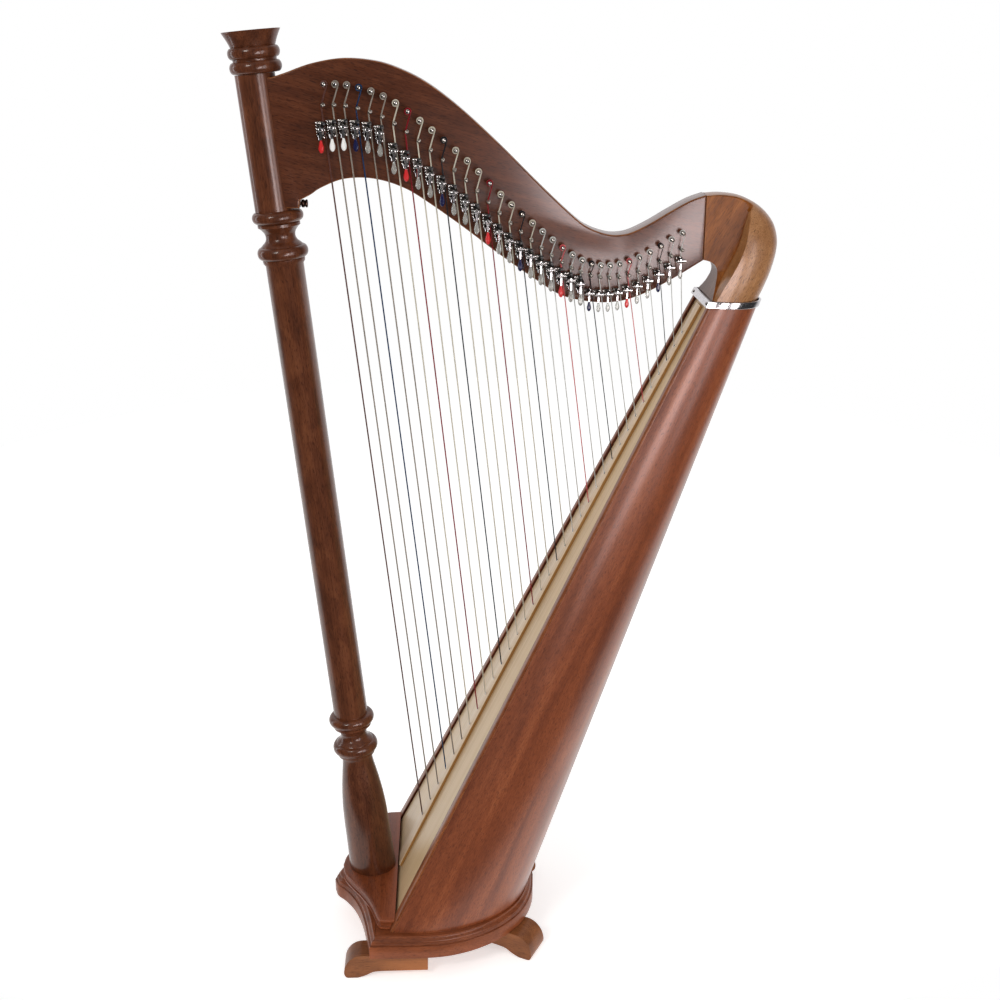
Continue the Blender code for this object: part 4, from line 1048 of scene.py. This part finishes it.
def shoulder_shares(place):
    """Where the section has its points: close together at the cheek's edge and the back."""
    edge = min(through(CHEEK_EDGE, place), 0.86)
    shares = [edge * step / 6 for step in range(7)]
    shares += [edge + past for past in (0.004, 0.02, 0.035, 0.046, 0.05)]
    start = edge + 0.05
    return shares + [start + (1.0 - start) * s for _, s in quarter(24, 1)]


def shoulder_ring(place):
    ends = []
    for edge in (SHOULDER_INNER, SHOULDER_OUTER):
        x, z = [through(list(enumerate(axis)), place) * MM for axis in zip(*edge)]
        ends.append(Vector((x, 0.0, z)))
    near = []
    for share in shoulder_shares(place):
        width = shoulder_half_width(place, share) * MM
        near.append(ends[0].lerp(ends[1], share) - ACROSS * width)
    near[-1].y = 0.0
    far = [Vector((point.x, -point.y, point.z)) for point in reversed(near[:-1])]
    return near + far


def collar_level(point, lift):
    fall = COLLAR_FALL * (point.x - COLLAR_POINT.x)
    return Vector((point.x, point.y, COLLAR_POINT.z + lift - fall))


def make_shoulder():
    first = shoulder_ring(0.0)
    middle = sum(first, Vector()) / len(first)
    top = COLLAR_HEIGHT + GAP
    rings = []
    for scale, lift in ((TENON_SCALE, 0.5 * MM), (TENON_SCALE, top), (1.0, top)):
        spread = [middle + (point - middle) * scale for point in first]
        rings.append([collar_level(point, lift) for point in spread])
    for row in range(1, SHOULDER_ROWS + 1):
        rings.append(shoulder_ring(SHOULDER_END * row / SHOULDER_ROWS))
    count = len(first)
    shape = Shape()
    # The rounded body carries a painted sheen in its colour, and the inner face a painted grey reflection.
    shape.add(rings, BODY_WOOD_PAINTED_SHEEN, columns={count - 1: INNER_FACE_PAINTED_REFLECTION})
    cheek = shape.slot(CHEEK_WOOD)
    for row in range(len(rings) - 1):
        place = SHOULDER_END * max(row - 2, 0) / SHOULDER_ROWS
        flat_end = 1.0 - 0.5 * through(EDGE_ROUND, place) if place > 6.3 else 0.0
        for column, share in enumerate(shoulder_shares(place)[1:]):
            if column < 7 or share < flat_end:
                shape.slots[row * count + column] = cheek
                shape.slots[row * count + count - 2 - column] = cheek
    obj = shape.make("shoulder_carving", 28.0)
    mount(obj, "shoulder_block")


# ----------------------------------------------------------------------- neck

NECK_UNDER = [(-302.5, 1239.0), (-287.0, 1246.5), (-272.0, 1256.0), (-243.0, 1267.5), (-214.0, 1270.4),
              (-186.0, 1267.2), (-157.0, 1258.0), (-129.0, 1243.0), (-71.0, 1202.7), (-13.0, 1159.0),
              (46.6, 1117.5), (77.0, 1099.0), (107.0, 1090.6), (137.0, 1087.2), (160.0, 1088.0),
              (182.0, 1092.5), (211.0, 1103.9), (250.0, 1125.0), (289.0, 1149.0)]
NECK_OVER = [(289.0, 1244.0), (265.0, 1235.5), (236.0, 1219.8), (207.0, 1202.8), (181.0, 1190.5),
             (163.0, 1186.8), (145.0, 1188.0), (120.0, 1196.5), (97.0, 1212.0), (45.0, 1259.7),
             (-13.0, 1316.0), (-70.0, 1367.0), (-118.0, 1402.0), (-160.0, 1422.0), (-194.0, 1431.0),
             (-236.0, 1433.5), (-278.0, 1426.5), (-315.0, 1414.0), (-334.0, 1408.0)]
BRIDGE_X = [(1, -263), (3, -231), (6, -180), (9, -129), (13, -62), (17, 2), (21, 63), (24, 107),
            (27, 149), (30, 192), (34, 255)]
BRIDGE_Z = [(1, 1371), (3, 1370), (6, 1355), (9, 1322), (13, 1267), (17, 1206), (21, 1159),
            (24, 1134), (27, 1126), (30, 1134), (34, 1166)]
PIN_RISE = [(1, 28), (10, 28), (19, 26), (25, 18), (30, 22.5), (34, 25.5)]
# Lever rows: first and last string, drop below the bridge pin at each, and shift aside.
LEVER_DROP = [(1, 6, 25.0, 14.0, -3.5), (7, 24, 29.0, 8.0, -1.5), (25, 34, 19.0, 8.5, -2.8)]


def bridge_place(number):
    return through(BRIDGE_X, number) * MM, through(BRIDGE_Z, number) * MM


def pin_place(number):
    x, z = bridge_place(number)
    return x + (3.6 - 0.150 * (number - 1)) * MM, z + through(PIN_RISE, number) * MM


def lever_size(number):
    return 1.0 if number <= LAST_LARGE_LEVER else SMALL_LEVER_SIZE


def lever_place(number):
    """Middle of a lever's axis, which is below its string's bridge pin."""
    x, z = bridge_place(number)
    for first, last, start, end, aside in LEVER_DROP:
        if first <= number <= last:
            drop = start + (end - start) * (number - first) / (last - first)
            shift = aside
    return x + shift * MM, z - (drop + lever_size(number) * 8.0) * MM


def make_neck():
    """The neck's flat sides, softly rounded edges and layered top and underside."""
    under = finer(NECK_UNDER, 6)
    over = finer(NECK_OVER, 6)
    block = [(-348.0, 1408.0), (-348.0, 1227.5), (-303.5, 1227.5), (-303.0, 1237.0)]
    outline = in_mm(under + over + block)
    edge = 2.4 * MM
    near = [(-NECK_HALF + edge * (1.0 - c), edge * (1.0 - s)) for c, s in quarter(4)]
    stations = near + [(-y, inset) for y, inset in reversed(near)]
    rings = []
    for y, inset in stations:
        rings.append([Vector((x, y, z)) for x, z in inset_outline(outline, inset)])
    shape = Shape()
    shape.add(rings, NECK_TOP, caps=NECK_WOOD)
    # The rounding bands get the rim wood: the veneer's edge together with a painted highlight along the
    # edges.
    rim_and_highlight = shape.slot(NECK_RIM_VENEER_AND_HIGHLIGHT)
    count = len(outline)
    for index in range(count * (len(rings) - 1)):
        if index // count not in (0, 4, 8):
            shape.slots[index] = rim_and_highlight
        elif index // count != 4:
            shape.slots[index] = shape.slot(NECK_WOOD)
    obj = shape.make("neck_carving", 40.0)
    socket = []
    for along in (1.08, 1.36):
        ring = pillar_ring(along, NECK_END_RADIUS + 0.4 * MM, NECK_END_SHIFT)
        socket.append([PILLAR_PLACE @ point for point in ring])
    cut(obj, single("pillar_socket", socket, NECK_WOOD), 40.0)
    settle(obj, (0.0, 0.0, 1.25), NECK_GRAIN)
    mount(obj, "neck")


# ------------------------------------------------------- strings and fittings


def string_radius(number):
    return (1.15 - 0.55 * (number - 1) / (STRING_COUNT - 1)) * MM


def string_tone(number):
    """Every seventh string from 1 is red and every seventh from 4 is dark."""
    place = number % 7
    if number <= 6:
        return {1: "wire_red", 4: "wire_blue"}.get(place, "wire")
    if place == 1:
        return "red" if number < 20 else "pink"
    if place == 4:
        return "black"
    return "gut" if number < 20 else "nylon"


def string_ends(number):
    """The string's knot, its hole, its bend at the bridge pin and its tuning pin."""
    along = string_foot(number)
    lift = belly(along, 0.0)
    knot = board_point(along, 0.0, -BOARD_THICK - 3.0 * MM)
    eye = board_point(along, 0.0, lift + RIB_HEIGHT + 0.8 * MM)
    bridge_x, bridge_z = bridge_place(number)
    bridge = Vector((bridge_x - BRIDGE_RADIUS + 0.5 * MM, STRING_AT_BRIDGE, bridge_z))
    pin_x, pin_z = pin_place(number)
    return knot, eye, bridge, Vector((pin_x, STRING_AT_PIN, pin_z))


def string_lean(number):
    """How far the string moves aside for each metre that it goes down."""
    _, eye, bridge, _ = string_ends(number)
    return (eye.x - bridge.x) / (bridge.z - eye.z)


def make_string(number):
    radius = string_radius(number)
    knot, eye, bridge, pin = string_ends(number)
    winding = PIN_RADIUS + radius * 0.9
    leave = pin + Vector((winding, 0.0, 0.0))
    points = [knot, eye]
    points += [eye.lerp(bridge, share) for share in (0.004, 0.5, 0.995)]
    points += [bridge, bridge.lerp(leave, 0.02), leave - Vector((0.0, 0.0, 0.6 * MM))]
    turns = 2.6
    steps = 44
    for step in range(steps + 1):
        angle = math.tau * turns * step / steps
        inward = 2.1 * radius * turns * step / steps
        points.append(pin + Vector((winding * math.cos(angle), inward, winding * math.sin(angle))))
    obj = single("string_%02d" % number, tube(points, radius), CORDS[string_tone(number)], 80.0)
    settle(obj, eye, (bridge - eye).normalized())
    mount(obj, "string_set")


def shared_meshes():
    """Meshes that many pieces share: a tuning pin, a bridge pin and an eyelet."""
    pin = Shape()
    radius = PIN_RADIUS / MM
    tip = -PIN_NEAR_END / MM
    shank = [(20.0, radius * 0.96), (28.5, radius * 0.96), (29.2, radius)]
    shank += dome(radius, 1.9, tip - 1.9)[:4] + [(tip - 0.1, 1.1), (tip - 1.0, 0.8), (tip - 1.8, 0.2)]
    pin.add(spun(ORIGIN, -ACROSS, in_mm(shank), 28), PIN_METAL)
    # A near-black sleeve at the string hole: painted shade inside the hole.
    mouth = (-PIN_RADIUS * 1.02, STRING_AT_PIN - 3.6 * MM, 0.0)
    pin.add(spun(mouth, ALONG, in_mm([(0.0, 0.9), (0.4, 0.9)]), 12), HOLE_PAINTED_SHADE)
    square = []
    for y, half in ((0.0205, 2.30), (PIN_FAR_END - 1.0 * MM, 2.162), (PIN_FAR_END, 1.702)):
        corners = in_mm((half * a, half * b) for a, b in octagon(0.72, 0.72))
        square.append([Vector((x, y, z)) for x, z in corners])
    pin.add(square, PIN_METAL)
    washer = [(21.2, 3.4), (22.6, 3.4), (23.2, 2.8)]
    pin.add(spun(ORIGIN, ACROSS, in_mm(washer), 28), PIN_METAL)
    bridge = Shape()
    face = -NECK_FACE / MM
    groove = -STRING_AT_BRIDGE / MM
    profile = [(face - 1.0, 2.9), (face + 0.9, 2.9), (face + 1.3, 2.0), (groove - 1.6, 2.0)]
    profile += [(groove, 1.5), (groove + 1.5, 2.3)]
    profile += dome(BRIDGE_RADIUS / MM + 0.3, 1.8, -BRIDGE_END / MM - 1.8)
    bridge.add(spun(ORIGIN, -ACROSS, in_mm(profile), 28), WORN_METAL)
    eyelet = Shape()
    profile = [(-1.5, 1.3), (-0.2, 2.3), (0.1, 2.5), (0.5, 2.3), (0.75, 1.9), (0.6, 1.45), (-0.6, 1.25)]
    # Near-black caps close the eyelet's bore at both ends: painted shade inside the bore.
    eyelet.add(spun(ORIGIN, UPRIGHT, in_mm(profile), 24), PIN_METAL, caps=HOLE_PAINTED_SHADE)
    return pin.make("tuning_pin_01"), bridge.make("bridge_pin_01", 30.0), eyelet.make("eyelet_01", 50.0)


def copies(first, stem, place):
    """One piece for each string from a shared mesh; place gives its matrix."""
    for number in STRINGS:
        obj = first if number == 1 else linked("%s_%02d" % (stem, number), first.data)
        obj.matrix_world = place(number)
        mount(obj, "string_set")


def level_place(place):
    x, z = place
    return Matrix.Translation((x, 0.0, z))


def eyelet_place(number):
    along = string_foot(number)
    return stand(board_point(along, 0.0, belly(along, 0.0) + RIB_HEIGHT), BOARD_OUT)


def ear(x, thick, reach, tip):
    """Rings of a bracket's side plate, from the neck out to its round end on the axle."""
    outline = [(-1.0, -5.6), (-1.0, 5.0)]
    for step in range(13):
        angle = math.pi / 2 - math.pi * step / 12
        outline.append((-reach - tip * math.cos(angle), tip * math.sin(angle)))
    rings = []
    middle = -reach / 2
    for at, scale in ((x, 0.94), (x + 0.2, 1.0), (x + thick - 0.2, 1.0), (x + thick, 0.94)):
        rings.append([Vector((at, middle + (y - middle) * scale, z * scale)) for y, z in outline])
    return rings


def make_bracket(number):
    """The fixed part of a lever: plate, screws, side plates, axle and string guides."""
    size = lever_size(number)
    x, z = lever_place(number)
    lean = string_lean(number)
    _, _, bridge, _ = string_ends(number)
    origin = Vector((x, NECK_FACE, z))
    string_x = (bridge.x + (bridge.z - z) * lean - x) / (size * MM)
    reach = (NECK_FACE - LEVER_AXIS_Y) / (size * MM)
    large = number <= LAST_LARGE_LEVER
    shape = Shape()

    def put(rings, material, leaning=False):
        shape.add(moved(rings, size, origin, lean if leaning else 0.0), material)

    axle = [(-5.9, 0.7), (-5.6, 1.5), (-4.9, 1.7), (5.1, 1.7), (5.8, 1.5), (6.1, 0.7)]
    put(spun((0.0, -reach, 0.0), ALONG, axle, 16), SCREW_METAL)
    put(ear(-4.9, 1.1, reach, 3.3), CHROME)
    put(ear(4.0, 1.1, reach, 3.3), CHROME)
    if large:
        put(slab((-7.4, -1.5, -12.5), (string_x + 1.4, 0.2, 10.4), 0.5), PLATE_METAL, True)
        put(slab((-4.6, -9.5, -8.6), (4.2, -1.2, 4.6), 0.7), BLACK_METAL)
        put(slab((string_x - 3.4, -12.6, 5.8), (string_x + 2.0, -1.0, 10.6), 0.5), BLACK_BLOCK, True)
        put(slab((-6.4, -9.4, -15.0), (-4.5, -1.0, -8.8), 0.4), CHROME, True)
        screws = [(-6.2, height) for height in (8.9, 4.7, 0.5, -3.7, -8.0)] + [(-2.4, 8.6), (0.6, 7.6)]
        guides = (-10.6,)
    else:
        put(slab((-6.0, -1.5, -6.5), (string_x + 1.0, 0.2, 5.5), 0.5), PLATE_METAL, True)
        put(slab((-4.6, -9.5, -5.0), (4.2, -1.2, 4.0), 0.7), BLACK_METAL)
        barrel = [(5.2, 2.2), (5.3, 2.9), (9.2, 2.9), (9.4, 2.2), (9.4, 1.2)]
        put(spun((0.0, -reach, 0.0), ALONG, barrel, 20), CHROME)
        screws = [(-5.6, 3.4), (-5.6, -3.6)]
        guides = (5.0,)
    for aside, height in screws:
        head = [(1.0, 1.0), (6.4, 1.0), (6.6, 1.7), (7.4, 1.7)] + dome(1.7, 1.0, 7.5, 4)
        put(spun((aside, 0.0, height), -ACROSS, head, 14), SCREW_METAL, True)
    for height in guides:
        post = [(1.0, 1.4), (8.0, 1.4), (8.4, 1.0), (10.4, 1.0), (10.8, 1.5), (11.8, 1.5), (12.2, 0.9)]
        put(spun((string_x - 2.2, 0.0, height), -ACROSS, post, 14), SCREW_METAL, True)
    mount(shape.make("lever_bracket_%02d" % number, 40.0), "string_set")


def lever_colour(number):
    """Red for each C, blue for each F, and white or clear between them."""
    if number % 7 == 1:
        return "red"
    if number % 7 == 4:
        return "blue"
    return "white" if number < 4 else "clear"


def lever_meshes(kind):
    """A lever's metal hub and arm, and its drop-shaped grip, about the lever's axis."""
    hub = Shape()
    barrel = [(2.1, 2.7), (2.3, 3.2), (3.1, 3.0), (3.3, 2.4)]
    barrel = [(-along, radius) for along, radius in reversed(barrel)] + barrel
    hub.add(spun(ORIGIN, ALONG, barrel, 24), CHROME)
    arm = [(-1.5, 2.3, 1.9), (-4.5, 2.1, 1.5), (-9.0, 1.7, 1.15), (-14.0, 1.5, 1.05), (-16.6, 1.3, 0.9)]
    hub.add(stack(arm, octagon(0.7, 0.6)), CHROME)
    hub.add(slab((-1.3, -3.6, 1.4), (1.3, 1.0, 3.9), 0.4), SCREW_METAL)
    drop = [(-14.4, 1.3, 1.1), (-14.9, 1.75, 1.45), (-17.5, 2.25, 1.75), (-20.5, 3.05, 2.3)]
    drop += [(-23.5, 3.85, 2.8), (-25.6, 4.0, 2.9), (-28.2, 3.7, 2.7), (-30.4, 2.7, 2.0)]
    drop += [(-31.6, 1.6, 1.3), (-32.0, 0.8, 0.7)]
    hexagon = [(-0.5, -1.0), (0.5, -1.0), (1.0, 0.0), (0.5, 1.0), (-0.5, 1.0), (-1.0, 0.0)]
    grip = single("lever_grip_" + kind, stack(drop, hexagon), GRIPS["clear"], 24.0)
    return hub.make("lever_hub_" + kind), grip


def make_levers():
    patterns = {size: lever_meshes(kind) for size, kind in ((1.0, "large"), (SMALL_LEVER_SIZE, "small"))}
    for number in STRINGS:
        size = lever_size(number)
        hub, grip = patterns[size]
        x, z = lever_place(number)
        node = "lever_%02d" % number
        arm = linked(node + "_arm", hub.data)
        handle = linked(node + "_grip", grip.data.copy())
        handle.data.materials[0] = GRIPS[lever_colour(number)]
        for obj, slot in ((arm, "chrome"), (handle, "lever_" + lever_colour(number))):
            obj.matrix_world = Matrix.Translation((x, LEVER_AXIS_Y, z)) @ Matrix.Scale(size * MM, 4)
            mount(obj, node, node + "_body")
        rounded(handle, 0.3, 2, 15.0)
    for pattern in patterns.values():
        for obj in pattern:
            bpy.data.objects.remove(obj, do_unlink=True)


# -------------------------------------------------------------- scene and light


def make_floor():
    """A plain pale floor under the harp."""
    finish = Finish("pale_floor")
    cloud = finish.noise(finish.places((1.0, 1.0, 1.0)), 3.0, 4.0)
    tint = finish.mix(finish.span(cloud, 0.3, 0.7, 0.0, 1.0), (0.90, 0.90, 0.90), (0.93, 0.93, 0.93))
    finish.drive("Base Color", tint)
    finish.set(Roughness=0.8, Specular_IOR_Level=0.1)
    finish.set(Emission_Color=(1.0, 1.0, 1.0, 1.0), Emission_Strength=0.52)
    rings = spun(FLOOR_CENTRE, UPRIGHT, [(-0.02, FLOOR_RADIUS), (0.0, FLOOR_RADIUS)], 96)
    single("floor", rings, finish.material)


def make_world():
    """Pale surround; glossy pieces see a dark room in front and a bright wall behind."""
    world = bpy.data.worlds.new("studio")
    bpy.context.scene.world = world
    nodes = Nodes(world)
    nodes.tree.nodes.clear()
    ways = nodes.node("TexCoord").outputs["Generated"]
    _, y, z = nodes.node("SeparateXYZ", [(0, ways)]).outputs
    backdrop = nodes.span(y, 0.25, 0.75, 0.0, 0.8, "SMOOTHSTEP")
    top = nodes.span(z, 0.45, 0.9, 0.0, 0.35, "SMOOTHSTEP")
    glow = nodes.math("ADD", nodes.math("ADD", backdrop, top), 0.03)
    ray = nodes.node("LightPath").outputs

    def background(colour, strength):
        inputs = [("Color", (*colour, 1.0)), ("Strength", strength)]
        return nodes.node("Background", inputs).outputs[0]

    plain = background((1.0, 1.0, 1.0), 0.56)
    gloss = background((1.0, 0.955, 0.975), glow)
    seen = background((1.0, 1.0, 1.0), 1.0)
    around = nodes.node("MixShader", [(0, ray["Is Glossy Ray"]), (1, plain), (2, gloss)]).outputs[0]
    whole = nodes.node("MixShader", [(0, ray["Is Camera Ray"]), (1, around), (2, seen)]).outputs[0]
    nodes.node("OutputWorld", [("Surface", whole)])


def add_light(name, place, target, width, height, radiance, tint, diffuse=True, glossy=True):
    """A soft box that isn't seen by the camera itself; some only show in reflections."""
    light = bpy.data.lights.new(name, "AREA")
    light.shape = "RECTANGLE"
    light.size = width
    light.size_y = height
    light.energy = radiance * math.pi * width * height
    light.color = tint
    obj = linked(name, light)
    obj.location = place
    obj.rotation_euler = (Vector(target) - Vector(place)).to_track_quat("-Z", "Y").to_euler()
    obj.visible_camera = False
    obj.visible_diffuse = diffuse
    obj.visible_glossy = glossy


# Name, place, target, width, height, radiance and tint of each light.
REFLECTED_LIGHTS = [
    ("strip_right", (1.95, -2.15, 1.10), CENTRE, 0.70, 2.1, 5.0, (1.0, 0.93, 0.95)),
    ("card_right", (0.66, -1.85, 1.05), (0.2, 0.0, 1.0), 0.50, 0.90, 11.0, (1.0, 0.88, 0.88)),
    ("card_low", (0.30, -1.85, 0.72), (0.2, 0.0, 0.9), 0.26, 0.56, 8.0, (1.0, 0.90, 0.90)),
    ("strip_left", (-2.9, 0.9, 1.0), CENTRE, 0.40, 3.0, 3.5, (0.90, 0.95, 1.0)),
]
KEY_LIGHT = ("key_left", (-1.9, -2.7, 2.9), CENTRE, 0.9, 0.9, 15.0, (1.0, 0.96, 0.91))
FILL_LIGHTS = [
    ("fill_right", (2.6, -1.6, 0.9), CENTRE, 1.2, 1.6, 4.5, (1.0, 0.97, 0.93)),
    ("fill_low", (-0.4, -2.1, 0.10), (-0.1, 0.0, 0.5), 1.4, 0.5, 1.4, (1.0, 0.96, 0.90)),
]


def make_lights():
    for light in REFLECTED_LIGHTS:
        add_light(*light, diffuse=False)
    add_light(*KEY_LIGHT)
    for light in FILL_LIGHTS:
        add_light(*light, glossy=False)


def make_camera():
    camera = linked("camera", bpy.data.cameras.new("camera"))
    camera.location = CAMERA_PLACE
    camera.rotation_euler = CAMERA_AIM.to_track_quat("-Z", "Y").to_euler()
    camera.data.lens = 46.8
    camera.data.sensor_width = 36.0
    camera.data.clip_start = 0.01
    camera.data.clip_end = 100.0
    bpy.context.scene.camera = camera
    bpy.context.scene.view_settings.view_transform = "Standard"


def main():
    make_camera()
    make_world()
    make_lights()
    make_floor()
    make_base_plate()
    make_pillar_plinth()
    make_feet()
    make_pillar()
    make_capital()
    make_pillar_bolt()
    make_inner_blocks()
    make_soundbox_shell()
    make_soundboard()
    make_string_rib()
    make_string_bar()
    make_edge_strips()
    make_collar()
    make_shoulder()
    make_neck()
    pin, bridge, eyelet = shared_meshes()
    copies(pin, "tuning_pin", lambda number: level_place(pin_place(number)))
    copies(bridge, "bridge_pin", lambda number: level_place(bridge_place(number)))
    copies(eyelet, "eyelet", eyelet_place)
    for number in STRINGS:
        make_string(number)
        make_bracket(number)
    make_levers()


main()
